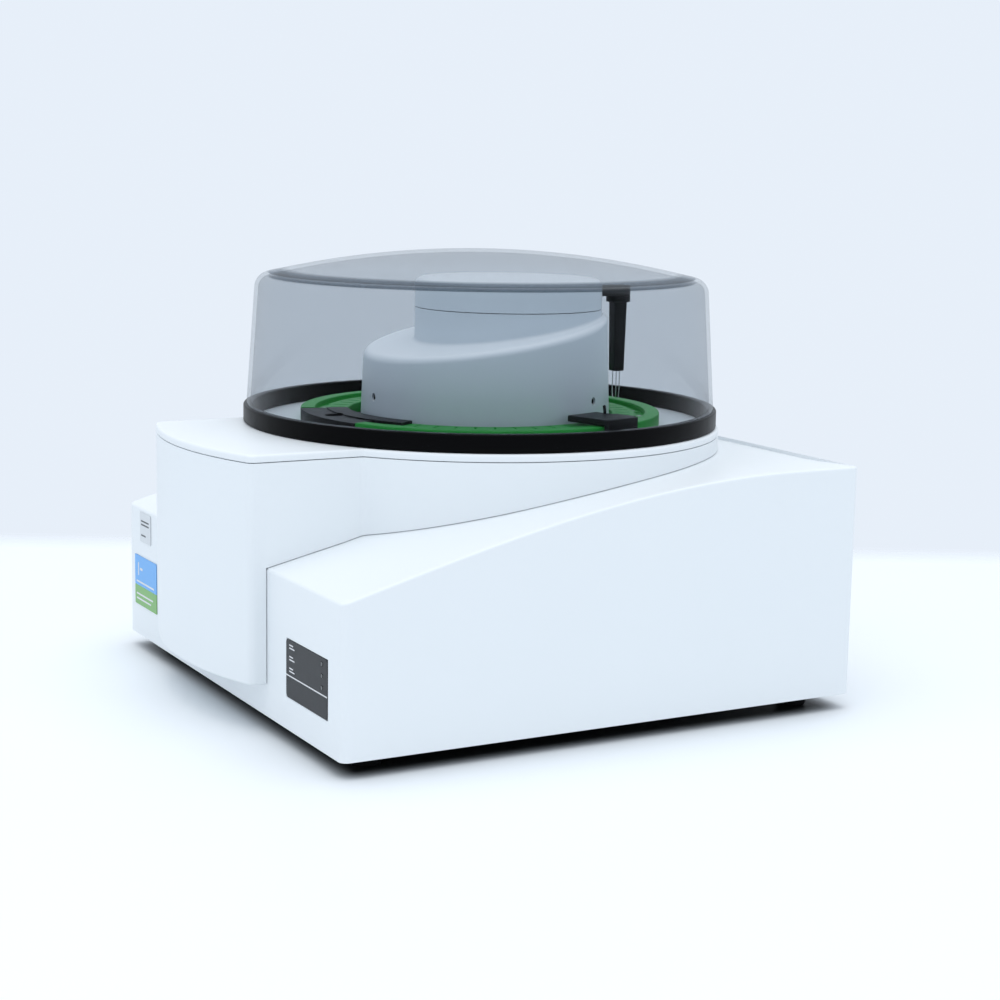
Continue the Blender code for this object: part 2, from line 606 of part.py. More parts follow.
def make_carousel():
    section = [(TRAY_OUTER, TRAY_RIM), (TRAY_OUTER, TRAY_LOW), (TRAY_INNER, TRAY_LOW),
               (TRAY_INNER, TRAY_BAND), (BAND_OUTER, TRAY_BAND), (BAND_OUTER, TRAY_GROOVE),
               (RIM_INNER, TRAY_GROOVE), (RIM_INNER, TRAY_RIM)]
    tray = turned("carousel_tray", section, steps=72)
    wells = rods("tray_wells", WELL_RADIUS, TRAY_GROOVE - 2.6, TRAY_RIM + 4, well_places(), 8)
    cut(tray, window_sector("tray_gap", WINDOW_HALF_DEG), wells)
    paint(tray, (0.05, 0.33, 0.07), 0.45)
    plate = turned("tray_window", [(TRAY_OUTER, TRAY_RIM), (TRAY_OUTER, TRAY_LOW),
                                   (TRAY_INNER, TRAY_LOW), (TRAY_INNER, TRAY_RIM)], steps=72)
    centre = polar(WELL_CIRCLE, WINDOW_CENTRE_DEG)
    hole = rod("window_hole", WINDOW_RADIUS, TRAY_LOW - 5, TRAY_RIM + 5, centre, 24)
    common(plate, window_sector("window_part", WINDOW_HALF_DEG - 0.3))
    cut(plate, hole)
    paint(plate, DARK, 0.55)
    pan = rod("sample_pan", 2.7, TRAY_GROOVE - 2.3, TRAY_GROOVE - 0.2, polar(WELL_CIRCLE, 90.0), 16)
    paint(pan, (0.8, 0.8, 0.8), 0.3, 1.0)


def make_sensor():
    """A block that stands beside the tray and reaches over it, with a plate and a small hook."""
    turn = Matrix.Rotation(math.radians(18), 4, "Z")
    shape = bmesh.new()
    add_box(shape, (TRAY_OUTER + 1.5, -17, DECK_TOP + GAP), (151, 17, 219.5), turn)
    body = from_bmesh("position_sensor", shape)
    top = bmesh.new()
    add_box(top, (109, -17, TRAY_RIM + 0.8), (150, 17, 219.5), turn)
    plate = bmesh.new()
    add_box(plate, (118, 10, 216), (138, 30, 218), turn)
    hook = bmesh.new()
    add_box(hook, (119, 12, 217), (122, 15, 226), turn)
    fuse(body, from_bmesh("sensor_top", top), from_bmesh("sensor_plate", plate),
         from_bmesh("sensor_hook", hook))
    paint(body, DARK, 0.5)


# ---------------------------------------------------------------- tower and gripper

def make_tower_base():
    base = rod("tower_base", 96.5, TOWER_LOW, TOWER_LOW + 3, TOWER_CENTRE, 32)
    column = rod("tower_column", COLUMN_RADIUS, CHASSIS_TOP + GAP, TOWER_LOW + 1, sides=32)
    lugs = bmesh.new()
    for angle in SCREW_ANGLES:
        turn = Matrix.Rotation(math.radians(angle), 4, "Z")
        add_box(lugs, (90, -6, TOWER_LOW + 1), (95.5, 6, 234), turn)
    hollow = rod("column_hollow", COLUMN_RADIUS - 4, CHASSIS_TOP - 5, TOWER_LOW - 1, sides=32)
    cut(fuse(base, column, from_bmesh("tower_lugs", lugs, TOWER_CENTRE)), hollow)
    paint(base, STEEL, 0.5, 0.8)


def ledge_cutter(name, drop):
    """Everything above the tower's sloping ledge, lowered by drop."""
    low, high = LEDGE_FRONT_Z - drop - LEDGE_SLOPE * 50, LEDGE_FRONT_Z - drop + LEDGE_SLOPE * 250
    outline = [(-150, low), (150, high), (150, 380), (-150, 380)]
    return prism(name, outline, -150, 150, "X")


def tower_body(name, inset, drop, low):
    top_radius = TOWER_FOOT_RADIUS - TOWER_TAPER - inset
    body = rod(name, TOWER_FOOT_RADIUS - inset, low, TOWER_CEILING, TOWER_CENTRE, 48, top_radius)
    cut(body, ledge_cutter(name + "_slope", drop))
    drum = rod(name + "_drum", DRUM_RADIUS - inset, 235, DRUM_TOP - drop, DRUM_CENTRE, 40)
    return fuse(body, drum)


def make_tower():
    shell = tower_body("tower_shell", 0.0, 0.0, TOWER_LOW)
    hollow = tower_body("tower_hollow", WALL, WALL, TOWER_LOW - 10)
    bore = rod("tower_bore", 8, 280, 310, DRUM_CENTRE, 24)
    holes = bmesh.new()
    for number, angle in enumerate(SCREW_ANGLES, 1):
        head = bmesh.new()
        turn = Matrix.Rotation(math.radians(angle), 4, "Z")
        add_cylinder(holes, 3.2, (92, 0, SCREW_Z), 20, "X", 12, turn=turn)
        add_cylinder(head, 2.8, (95.9, 0, SCREW_Z), 3.6, "X", 12, turn=turn)
        paint(from_bmesh(f"tower_screw_{number}", head, TOWER_CENTRE), DARK, 0.4, 0.5)
    cut(shell, hollow, bore, from_bmesh("tower_screw_holes", holes, TOWER_CENTRE))
    paint(shell, (0.72, 0.76, 0.78), 0.4)


def make_head():
    low = DRUM_TOP + SEAM
    outer = DRUM_RADIUS
    profile = [(0.0, CAP_TOP), (outer - 6, CAP_TOP), (outer - 2, CAP_TOP - 2), (outer, CAP_TOP - 6),
               (outer, low), (outer - WALL, low), (outer - WALL, CAP_TOP - 6),
               (outer - 7, CAP_TOP - 2.4), (0.0, CAP_TOP - 2.4)]
    cap = turned("head_cap", profile, DRUM_CENTRE, 40, closed=False)
    slot = box("head_slot", (-ARM_WIDTH / 2 - 0.4, DRUM_CENTRE[1] + 40, ARM_LOW - 0.4),
               (ARM_WIDTH / 2 + 0.4, DRUM_CENTRE[1] + 90, ARM_TOP + 0.3))
    cut(cap, slot)
    paint(cap, (0.72, 0.76, 0.78), 0.4)
    half = ARM_WIDTH / 2
    reach = GRIPPER_Y - DRUM_CENTRE[1]
    outline = arc((0, reach), half, 0, 180, 10) + arc((0, 0), half, 180, 360, 10)
    arm = prism("swing_arm", outline, ARM_LOW, ARM_TOP, centre=DRUM_CENTRE)
    paint(arm, DARK, 0.45)
    shaft = rod("head_shaft", 6, 222, ARM_LOW - GAP, DRUM_CENTRE, 24)
    paint(shaft, STEEL, 0.25, 1.0)
    x, y = DRUM_CENTRE
    motor = box("head_motor", (x - 24, y - 24, TOWER_LOW + 3.3), (x + 24, y + 24, 246), 3.0)
    cut(motor, rod("head_motor_bore", 6.6, 220, 260, DRUM_CENTRE, 24))
    paint(motor, (0.08, 0.08, 0.085), 0.4, 0.6)


def make_gripper():
    centre = (0.0, GRIPPER_Y)
    shape = bmesh.new()
    root = math.sqrt(2)
    add_cylinder(shape, GRIPPER_HALF[0] * root, (0, 0, GRIPPER_LOW), GRIPPER_TOP - GRIPPER_LOW,
                 sides=4, end_radius=GRIPPER_HALF[1] * root, turn=Matrix.Rotation(math.pi / 4, 4, "Z"))
    body = from_bmesh("gripper_body", shape, centre)
    round_edges(body, 0.8)
    flange = rod("gripper_flange", FLANGE_RADIUS, GRIPPER_TOP - 0.5, ARM_LOW - GAP, centre, 32)
    bore = rod("gripper_bore", BORE_RADIUS, GRIPPER_LOW - 5, GRIPPER_TOP - 0.8, centre, 24)
    cut(fuse(body, flange), bore)
    paint(body, DARK, 0.5)
    plunger = rod("gripper_plunger", BORE_RADIUS - 0.4, FINGER_PIVOT + 4, 277, centre, 24)
    paint(plunger, STEEL, 0.3, 1.0)
    for number, letter in enumerate("abc"):
        make_finger("finger_" + letter, 90 + 120 * number)


def make_finger(name, degrees):
    """A straight wire finger whose pivot is its own origin."""
    curve = bpy.data.curves.new(name, "CURVE")
    curve.dimensions = "3D"
    curve.bevel_depth = WIRE_RADIUS * MM
    curve.bevel_resolution = 1
    curve.use_fill_caps = True
    spline = curve.splines.new("POLY")
    heights = (3.6, 0.0, -9.0, FINGER_TIP + 3 - FINGER_PIVOT, FINGER_TIP - FINGER_PIVOT)
    offsets = (0.0, 0.0, 0.0, 0.0, -0.6)
    spline.points.add(len(heights) - 1)
    outward = polar(1.0, degrees)
    for point, height, offset in zip(spline.points, heights, offsets):
        point.co = (outward[0] * offset * MM, outward[1] * offset * MM, height * MM, 1.0)
    item = bpy.data.objects.new(name, curve)
    x, y = polar(FINGER_CIRCLE, degrees)
    item.location = Vector((AXIS[0] + x, AXIS[1] + GRIPPER_Y + y, FINGER_PIVOT)) * MM
    parts.objects.link(item)
    paint(item, (0.6, 0.6, 0.6), 0.25, 1.0)


# ---------------------------------------------------------------- dome

def dome_height(radius, drop=0.0):
    """Height of the crown's outer skin, a shallow sphere that ends at the shoulder."""
    edge = DOME_SHOULDER - SHOULDER_RADIUS
    crown = SHOULDER_Z + SHOULDER_RADIUS + sagitta(edge)
    return crown - drop - sagitta(radius)


def sagitta(radius):
    return CROWN_RADIUS - math.sqrt(CROWN_RADIUS ** 2 - radius ** 2)


def dome_profile(inset):
    """Points from the crown down to the foot, moved inwards by inset."""
    edge = DOME_SHOULDER - SHOULDER_RADIUS
    points = [(edge * step / 4, dome_height(edge * step / 4, inset)) for step in range(4)]
    centre = (edge, SHOULDER_Z)
    lean = math.degrees(math.asin(edge / CROWN_RADIUS))
    points += arc(centre, SHOULDER_RADIUS - inset, 90 - lean, 0, 3)
    points += [(DOME_FOOT - inset, RING_TOP + GAP)]
    return points


def make_dome():
    ring = turned("dome_ring", [(RING_OUTER, RING_TOP - 1), (RING_OUTER, DECK_TOP + GAP),
                                (RING_INNER, DECK_TOP + GAP), (RING_INNER, RING_TOP),
                                (RING_OUTER - 1, RING_TOP)], steps=64)
    paint(ring, DARK, 0.4)
    profile = dome_profile(0.0) + list(reversed(dome_profile(DOME_WALL)))
    dome = turned("dome_shell", profile, steps=48, closed=False)
    paint(dome, (0.35, 0.38, 0.42), 0.05, alpha=0.4)


def main():
    clear_scene()
    make_base_housing()
    make_upper_housing()
    make_deck()
    make_bottom()
    make_front_trim()
    make_rear_panel()
    make_services()
    make_fan()
    make_chassis()
    make_electronics()
    make_furnace()
    make_drive()
    make_turntable()
    make_carousel()
    make_sensor()
    make_tower_base()
    make_tower()
    make_head()
    make_gripper()
    make_dome()


main()
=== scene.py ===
"""Looks of a benchtop thermal analyser with a carousel autosampler under a smoked dome.

Shapes are drawn in millimetres, in plan from the dome's axis and in height from the table,
and are moved into the frame when a piece is added. -Y is the front.
"""
import math

import bmesh
import bpy
from mathutils import Matrix, Vector


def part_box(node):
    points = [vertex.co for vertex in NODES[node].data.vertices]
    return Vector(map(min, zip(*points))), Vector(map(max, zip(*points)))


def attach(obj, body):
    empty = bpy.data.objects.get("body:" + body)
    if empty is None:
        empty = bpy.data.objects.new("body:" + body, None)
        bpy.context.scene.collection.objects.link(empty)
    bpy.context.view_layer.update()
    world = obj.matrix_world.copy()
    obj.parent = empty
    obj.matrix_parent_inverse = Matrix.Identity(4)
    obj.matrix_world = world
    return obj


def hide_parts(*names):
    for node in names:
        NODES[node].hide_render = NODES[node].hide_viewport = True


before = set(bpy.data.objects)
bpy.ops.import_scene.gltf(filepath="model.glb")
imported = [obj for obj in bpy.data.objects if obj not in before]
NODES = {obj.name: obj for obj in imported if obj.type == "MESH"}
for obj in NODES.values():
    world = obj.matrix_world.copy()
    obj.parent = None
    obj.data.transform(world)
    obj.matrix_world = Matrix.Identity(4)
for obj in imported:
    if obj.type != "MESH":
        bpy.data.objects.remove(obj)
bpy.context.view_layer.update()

MM = 0.001
AXIS = Vector([(a + b) / 2 / MM for a, b in zip(*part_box("dome_ring"))][:2] + [0.0])


def local_box(node):
    """A CAD node's corners in millimetres from the dome's axis."""
    low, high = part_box(node)
    return Vector(low) / MM - AXIS, Vector(high) / MM - AXIS


BASE_LOW, BASE_HIGH = local_box("base_housing")
DECK_LOW, DECK_HIGH = local_box("deck_plate")
SLEEVE_LOW, SLEEVE_HIGH = local_box("upper_housing")
RING_LOW, RING_HIGH = local_box("dome_ring")
DOME_LOW, DOME_HIGH = local_box("dome_shell")
TRAY_LOW, TRAY_HIGH = local_box("carousel_tray")
TOWER_LOW, TOWER_HIGH = local_box("tower_shell")
CAP_LOW, CAP_HIGH = local_box("head_cap")
ARM_LOW, ARM_HIGH = local_box("swing_arm")
GRIPPER_LOW, GRIPPER_HIGH = local_box("gripper_body")
STATUS_LOW, STATUS_HIGH = local_box("status_panel")
LABEL_LOW, LABEL_HIGH = local_box("colour_label")
TAG_LOW, TAG_HIGH = local_box("blank_tag")
REAR_LOW, REAR_HIGH = local_box("rear_panel")
GRILLE_LOW, GRILLE_HIGH = local_box("fan_grille")
SENSOR_LOW = local_box("position_sensor")[0]

# Casing proportions
FRONT_TOP, CREST_Y, CORNER, WALL, SEAM = 120.9, 140.0, 6.0, 3.0, 0.6
DISH, DISH_EDGE = 2.8, 150.0
DECK_RADIUS = DECK_HIGH.x
NOSE_LEFT, NOSE_RIGHT, NOSE_CURVE, NOSE_CORNER = -86.0, 112.0, 280.0, 7.0
FILLET = 7.0
TOP_OPENING, DECK_OPENING = 170.0, 120.0
EDGE = 2.0

# Dome
SHOULDER_Z, SHOULDER_RADIUS, DOME_SHOULDER, CROWN_RADIUS = 309.0, 12.0, 181.0, 732.0
DOME_WALL = 3.0
RING_INNER = 182.0
# The dark band on the dome's shoulder is painted shade. The ring where the smoke's tint darkens, and the
# second colour below, are set here.
BAND_START, BAND_END, BAND_LOW = 154.0, 169.5, 316.0
SMOKE, SHOULDER_PAINTED_SHADE = (0.842, 0.858, 0.872), (0.20, 0.24, 0.28)

# Tower
TOWER_CENTRE, DRUM_CENTRE = (0.0, 4.5), (0.0, 24.5)
TOWER_FOOT_RADIUS, TOWER_TAPER, DRUM_RADIUS = 100.5, 3.6 / 94.8, 75.5
LEDGE_FRONT_Y, LEDGE_FRONT_Z, LEDGE_SLOPE = -100.0, 258.0, 0.165
SCREW_ANGLES, SCREW_Z = (-90, 30, 150), 226.0

# Carousel
TRAY_INNER, TRAY_OUTER = 106.5, 144.5
TRAY_GROOVE, TRAY_BAND = 209.5, 212.0
RIM_INNER, BAND_OUTER = 133.0, 125.0
WELL_CIRCLE, WELL_RADIUS, WELL_PITCH_DEG = 129.0, 3.2, 7.5
WINDOW_CENTRE_DEG, WINDOW_HALF_DEG = -90.0, 21.0
FINGER_CIRCLE, PLUNGER_RADIUS, BORE_RADIUS, WIRE_RADIUS = 3.2, 3.8, 4.2, 0.45
FLANGE_RADIUS, FLANGE_Z, SENSOR_TOP = 10.0, 297.0, 219.5

BLUE_OVER_GREEN_Z = 54.4

# Camera and room
CAMERA_PLACE = Vector((1431.1, -773.0, 415.3))
CAMERA_YAW, CAMERA_PITCH, CAMERA_ROLL = (math.radians(a) for a in (61.01, 9.68, 0.99))
LENS = 72.86
WALL_COLOUR = (0.80, 0.865, 0.95)
TABLE_EDGE, TABLE_WHITE, TABLE_SHADE = 2107.0, (0.90, 0.93, 0.95), (0.01, 0.011, 0.013)


# ---------------------------------------------------------------- adding pieces

def add_piece(name, shape, body, material, replaces=(), sharp=32):
    """Moves a shape drawn in millimetres into the frame and puts it on a body."""
    bmesh.ops.translate(shape, vec=AXIS, verts=shape.verts)
    bmesh.ops.scale(shape, vec=(MM, MM, MM), verts=shape.verts)
    mesh = bpy.data.meshes.new(name)
    shape.to_mesh(mesh)
    shape.free()
    mesh.shade_smooth()
    mesh.set_sharp_from_angle(angle=math.radians(sharp))
    piece = bpy.data.objects.new(name, mesh)
    bpy.context.scene.collection.objects.link(piece)
    mesh.materials.append(material)
    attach(piece, body)
    if replaces:
        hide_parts(*replaces)
    return piece


def cut(shape, *tools):
    return boolean(shape, tools, "DIFFERENCE")


def fuse(shape, *tools):
    return boolean(shape, tools, "UNION")


def boolean(shape, tools, operation):
    """The shape after Boolean steps with other shapes, as a new shape."""
    def hold(one):
        mesh = bpy.data.meshes.new("work")
        one.to_mesh(mesh)
        one.free()
        item = bpy.data.objects.new("work", mesh)
        bpy.context.scene.collection.objects.link(item)
        return item

    target = hold(shape)
    held = [hold(tool) for tool in tools]
    for tool in held:
        step = target.modifiers.new("step", "BOOLEAN")
        step.operation = operation
        step.solver = "EXACT"
        step.object = tool
    depsgraph = bpy.context.evaluated_depsgraph_get()
    mesh = bpy.data.meshes.new_from_object(target.evaluated_get(depsgraph))
    result = bmesh.new()
    result.from_mesh(mesh)
    for item in [target, *held]:
        bpy.data.objects.remove(item, do_unlink=True)
    bpy.data.meshes.remove(mesh)
    return result


# ---------------------------------------------------------------- shapes

def arc(centre, radius, start_deg, end_deg, steps):
    points = []
    for step in range(steps + 1):
        angle = math.radians(start_deg + (end_deg - start_deg) * step / steps)
        points.append((centre[0] + radius * math.cos(angle), centre[1] + radius * math.sin(angle)))
    return points


def polar(radius, degrees):
    angle = math.radians(degrees)
    return (radius * math.cos(angle), radius * math.sin(angle))


def loft(rings, cap_low=True, cap_high=True, close=False):
    """A skin through rings of equal length, each a list of (x, y, z)."""
    shape = bmesh.new()
    rows = [[shape.verts.new(point) for point in ring] for ring in rings]
    count = len(rows[0])
    pairs = list(zip(rows, rows[1:])) + ([(rows[-1], rows[0])] if close else [])
    for low, high in pairs:
        for n in range(count):
            m = (n + 1) % count
            shape.faces.new((low[n], low[m], high[m], high[n]))
    if cap_low and not close:
        shape.faces.new(list(reversed(rows[0])))
    if cap_high and not close:
        shape.faces.new(rows[-1])
    bmesh.ops.recalc_face_normals(shape, faces=shape.faces)
    return shape


def turned(profile, steps=192, centre=(0.0, 0.0), closed=True):
    """A profile of (radius, height) points spun about a centre. Points at radius 0 close it."""
    rings = []
    for radius, height in profile:
        angles = [2 * math.pi * n / steps for n in range(steps)]
        rings.append([(radius * math.cos(a), radius * math.sin(a), height) for a in angles])
    shape = loft(rings, False, False, close=closed)
    bmesh.ops.remove_doubles(shape, verts=shape.verts, dist=0.0001)
    bmesh.ops.recalc_face_normals(shape, faces=shape.faces)
    bmesh.ops.translate(shape, vec=(centre[0], centre[1], 0.0), verts=shape.verts)
    return shape


def box(low, high, bevel=0.0, segments=2, turn=Matrix()):
    shape = bmesh.new()
    size = Vector(high) - Vector(low)
    middle = (Vector(high) + Vector(low)) / 2
    matrix = Matrix.Translation(middle) @ Matrix.Diagonal((*size, 1.0))
    bmesh.ops.create_cube(shape, size=1.0, matrix=matrix)
    if bevel:
        bmesh.ops.bevel(shape, geom=shape.edges[:], offset=bevel, segments=segments,
                        profile=0.5, affect="EDGES")
    bmesh.ops.transform(shape, matrix=turn, verts=shape.verts)
    return shape


def cylinder(radius, start, length, axis="Z", sides=32, turn=Matrix(), bevel=0.0):
    shape = bmesh.new()
    facing = {"Z": Matrix(), "X": Matrix.Rotation(math.pi / 2, 4, "Y"),
              "Y": Matrix.Rotation(-math.pi / 2, 4, "X")}[axis]
    matrix = turn @ Matrix.Translation(start) @ facing @ Matrix.Translation((0, 0, length / 2))
    bmesh.ops.create_cone(shape, cap_ends=True, segments=sides, radius1=radius,
                          radius2=radius, depth=length, matrix=matrix)
    if bevel:
        rims = [edge for edge in shape.edges if edge.calc_face_angle(0) > math.radians(50)]
        bmesh.ops.bevel(shape, geom=rims, offset=bevel, segments=2, profile=0.5, affect="EDGES")
    return shape


def merged(shapes):
    """Separate shapes in one mesh."""
    result = bmesh.new()
    for shape in shapes:
        mesh = bpy.data.meshes.new("part")
        shape.to_mesh(mesh)
        shape.free()
        result.from_mesh(mesh)
        bpy.data.meshes.remove(mesh)
    return result


def wire(points, radius, sides=10):
    """A round wire through points, with closed ends."""
    points = [Vector(point) for point in points]
    rings = []
    side = None
    for n, point in enumerate(points):
        ahead = (points[min(n + 1, len(points) - 1)] - points[max(n - 1, 0)]).normalized()
        if side is None:
            side = ahead.orthogonal().normalized()
        side = (side - ahead * side.dot(ahead)).normalized()
        other = ahead.cross(side)
        rings.append([tuple(point + (side * math.cos(a) + other * math.sin(a)) * radius)
                      for a in (2 * math.pi * k / sides for k in range(sides))])
    return loft(rings)


def soft_corner(points, index, radius, steps=6):
    """An outline with the corner at index replaced by an arc of about this radius."""
    before, corner, after = (Vector(points[(index + shift) % len(points)]) for shift in (-1, 0, 1))
    one, two = (before - corner).normalized(), (after - corner).normalized()
    half = one.angle(two) / 2
    reach = min(radius / math.tan(half), (before - corner).length * 0.9, (after - corner).length * 0.9)
    start, end = corner + one * reach, corner + two * reach
    curve = []
    for step in range(steps + 1):
        t = step / steps
        curve.append(tuple(start * (1 - t) ** 2 + corner * 2 * t * (1 - t) + end * t ** 2))
    return points[:index] + curve + points[index + 1:]


def deck_outline(inset=0.0, steps=200):
    """The round deck and its front extension as one outline, moved inwards by inset."""
    radius, curve, corner = DECK_RADIUS - inset, NOSE_CURVE - inset, NOSE_CORNER
    left, right = NOSE_LEFT + inset, NOSE_RIGHT - inset
    centre = ((NOSE_LEFT + NOSE_RIGHT) / 2, DECK_LOW.y + NOSE_CURVE)
    half = right - centre[0] - corner
    corner_y = centre[1] - math.sqrt((curve - corner) ** 2 - half ** 2)
    lean = math.degrees(math.atan2(centre[1] - corner_y, half))
    join_right = math.degrees(math.acos(right / radius))
    join_left = math.degrees(math.acos(-left / radius))
    circle = arc((0, 0), radius, -join_right, 180 + join_left, steps)
    left_y, right_y = circle[-1][1], circle[0][1]
    points = circle + [(left, left_y - (left_y - corner_y) * n / 8) for n in range(1, 8)]
    points += arc((left + corner, corner_y), corner, 180, 180 + lean, 8)
    points += arc(centre, curve, 180 + lean, 360 - lean, 40)[1:-1]
    points += arc((right - corner, corner_y), corner, -lean, 0, 8)
    points += [(right, corner_y + (right_y - corner_y) * n / 8) for n in range(1, 8)]
    points = soft_corner(points, steps, FILLET)
    return soft_corner(points, 0, FILLET)


def base_height(x, y):
    """Height of the base's top, which climbs from the front as a quarter sine wave.

    The top is a little hollow under the deck and comes up to its full height at the sides.
    """
    climb = min(1.0, (y - BASE_LOW.y) / (CREST_Y - BASE_LOW.y))
    height = FRONT_TOP + (BASE_HIGH.z - FRONT_TOP) * math.sin(max(0.0, climb) * math.pi / 2)
    middle = (BASE_LOW.x + BASE_HIGH.x) / 2
    out = min(1.0, max(0.0, (abs(x - middle) - DISH_EDGE) / (BASE_HIGH.x - middle - DISH_EDGE)))
    back = min(1.0, max(0.0, (y - BASE_LOW.y) / 60.0))
    return height - DISH * back * (1 - out * out * (3 - 2 * out))


def half_outline(inset, corner_steps=10, side_steps=72):
    """Right half of the base's plan, from the front round to the rear, moved inwards by inset."""
    front, rear, right = BASE_LOW.y, BASE_HIGH.y, BASE_HIGH.x
    corner = CORNER - inset
    points = arc((right - CORNER, front + CORNER), corner, -90, 0, corner_steps)
    start, end = front + CORNER, rear - CORNER
    points += [(right - inset, start + (end - start) * n / side_steps) for n in range(1, side_steps)]
    points += arc((right - CORNER, rear - CORNER), corner, 0, 90, corner_steps)
    return points


def base_ring(inset, height_of):
    middle = (BASE_LOW.x + BASE_HIGH.x) / 2
    right = half_outline(inset)
    left = [(2 * middle - x, y) for x, y in right]
    return [(x, y, height_of(x, y)) for x, y in right + list(reversed(left))]


def base_skin(inset, low, edge):
    """The base's outside as a closed solid with a rounded top edge and a gently hollow top."""
    shape = bmesh.new()
    rings = [base_ring(inset, lambda x, y: low)]
    rings.append(base_ring(inset, lambda x, y: (low + base_height(x, y) - inset) / 2))
    for step in range(7):
        angle = math.pi / 2 * step / 6
        shift, drop = edge * (1 - math.cos(angle)), edge * (1 - math.sin(angle))
        rings.append(base_ring(inset + shift, lambda x, y: base_height(x, y) - inset - drop))
    rows = [[shape.verts.new(point) for point in ring] for ring in rings]
    count = len(rows[0])
    for below, above in zip(rows, rows[1:]):
        for n in range(count):
            m = (n + 1) % count
            shape.faces.new((below[n], below[m], above[m], above[n]))
    shape.faces.new(list(reversed(rows[0])))
    top = rows[-1]
    across = 24
    strips = []
    for n in range(count // 2):
        start, end = top[n].co, top[count - 1 - n].co
        inner = []
        for step in range(1, across):
            t = 0.5 - 0.5 * math.cos(math.pi * step / across)
            x, y = start.x + (end.x - start.x) * t, start.y + (end.y - start.y) * t
            inner.append(shape.verts.new((x, y, base_height(x, y) - inset)))
        strips.append([top[n], *inner, top[count - 1 - n]])
    for one, two in zip(strips, strips[1:]):
        for n in range(across):
            shape.faces.new((one[n], two[n], two[n + 1], one[n + 1]))
    shape.faces.new(strips[0])
    shape.faces.new(list(reversed(strips[-1])))
    bmesh.ops.recalc_face_normals(shape, faces=shape.faces)
    return shape


def prism_of(outline, low, high):
    return loft([[(x, y, low) for x, y in outline], [(x, y, high) for x, y in outline]])


def underside(grow):
    """Everything that the base fills, made larger by grow, for cutting the casing above it."""
    front, rear = BASE_LOW.y - grow, BASE_HIGH.y + 30
    left, right = BASE_LOW.x - 10, BASE_HIGH.x + 10
    across, along = 48, 120
    shape = bmesh.new()
    rows = []
    for k in range(along + 1):
        y = front + (rear - front) * k / along
        xs = [left + (right - left) * n / across for n in range(across + 1)]
        top = [shape.verts.new((x, y, base_height(x, y) + grow)) for x in xs]
        rows.append([shape.verts.new((left, y, -20.0)), *top, shape.verts.new((right, y, -20.0))])
    for one, two in zip(rows, rows[1:]):
        for n in range(len(one)):
            m = (n + 1) % len(one)
            shape.faces.new((one[n], one[m], two[m], two[n]))
    shape.faces.new(rows[0])
    shape.faces.new(list(reversed(rows[-1])))
    bmesh.ops.recalc_face_normals(shape, faces=shape.faces)
    return shape


# ---------------------------------------------------------------- materials

def new_material(name):
    material = bpy.data.materials.new(name)
    material.use_nodes = True
    return material, material.node_tree


def new_node(tree, kind, values=None, feeds=None):
    """A shader node with some inputs set and others fed by outputs of other nodes."""
    item = tree.nodes.new("ShaderNode" + kind)
    for socket, value in (values or {}).items():
        item.inputs[socket].default_value = value
    for socket, source in (feeds or {}).items():
        tree.links.new(source, item.inputs[socket])
    return item


def calculate(tree, operation, one, *numbers):
    """A maths node whose first input is another node's output; the rest are outputs or numbers."""
    item = new_node(tree, "Math", feeds={0: one})
    item.operation = operation
    for place, value in enumerate(numbers, 1):
        if isinstance(value, float):
            item.inputs[place].default_value = value
        else:
            tree.links.new(value, item.inputs[place])
    return item.outputs[0]


def ramp(tree, source, start, end, low=0.0, high=1.0, smooth=False):
    """Maps a value from start..end to low..high, and holds it beyond them."""
    item = new_node(tree, "MapRange", {"From Min": start, "From Max": end, "To Min": low, "To Max": high},
                    {"Value": source})
    if smooth:
        item.interpolation_type = "SMOOTHSTEP"
    return item.outputs["Result"]


def mixed(tree, share, one, other):
    """Blends from one colour to another by a share. A colour is a tuple or an output."""
    item = tree.nodes.new("ShaderNodeMix")
    item.data_type = "RGBA"
    tree.links.new(share, item.inputs["Factor"])
    for socket, colour in (("A", one), ("B", other)):
        if isinstance(colour, tuple):
            item.inputs[socket].default_value = (*colour, 1.0)
        else:
            tree.links.new(colour, item.inputs[socket])
    return item.outputs["Result"]


def surface(name, colour, roughness, metallic=0.0, mottle=0.0, mottle_scale=30.0, grain=0.0,
            grain_scale=900.0, rough_spread=0.0, brushed=(1.0, 1.0, 1.0), coat=0.0, gloss=0.5):
    """A Principled material with tone variation, varied roughness and a fine bump."""
    material, tree = new_material(name)
    shader = tree.nodes["Principled BSDF"]
    values = {"Base Color": (*colour, 1.0), "Roughness": roughness, "Metallic": metallic,
              "Coat Weight": coat, "Specular IOR Level": gloss}
    for socket, value in values.items():
        shader.inputs[socket].default_value = value
    place = new_node(tree, "TexCoord")
    stretch = new_node(tree, "Mapping", {"Scale": brushed}, {"Vector": place.outputs["Object"]})

    def noise(scale, detail):
        cloud = new_node(tree, "TexNoise", {"Scale": scale, "Detail": detail},
                         {"Vector": stretch.outputs["Vector"]})
        return cloud.outputs["Fac"]

    if mottle:
        darker = tuple(channel * (1 - mottle) for channel in colour)
        tree.links.new(mixed(tree, noise(mottle_scale, 5.0), darker, colour), shader.inputs["Base Color"])
    if rough_spread:
        haze = ramp(tree, noise(mottle_scale * 2.3, 4.0), 0.0, 1.0,
                    roughness - rough_spread, roughness + rough_spread)
        tree.links.new(haze, shader.inputs["Roughness"])
    if grain:
        bump = new_node(tree, "Bump", {"Strength": 0.5, "Distance": grain * MM},
                        {"Height": noise(grain_scale, 3.0)})
        tree.links.new(bump.outputs["Normal"], shader.inputs["Normal"])
    return material


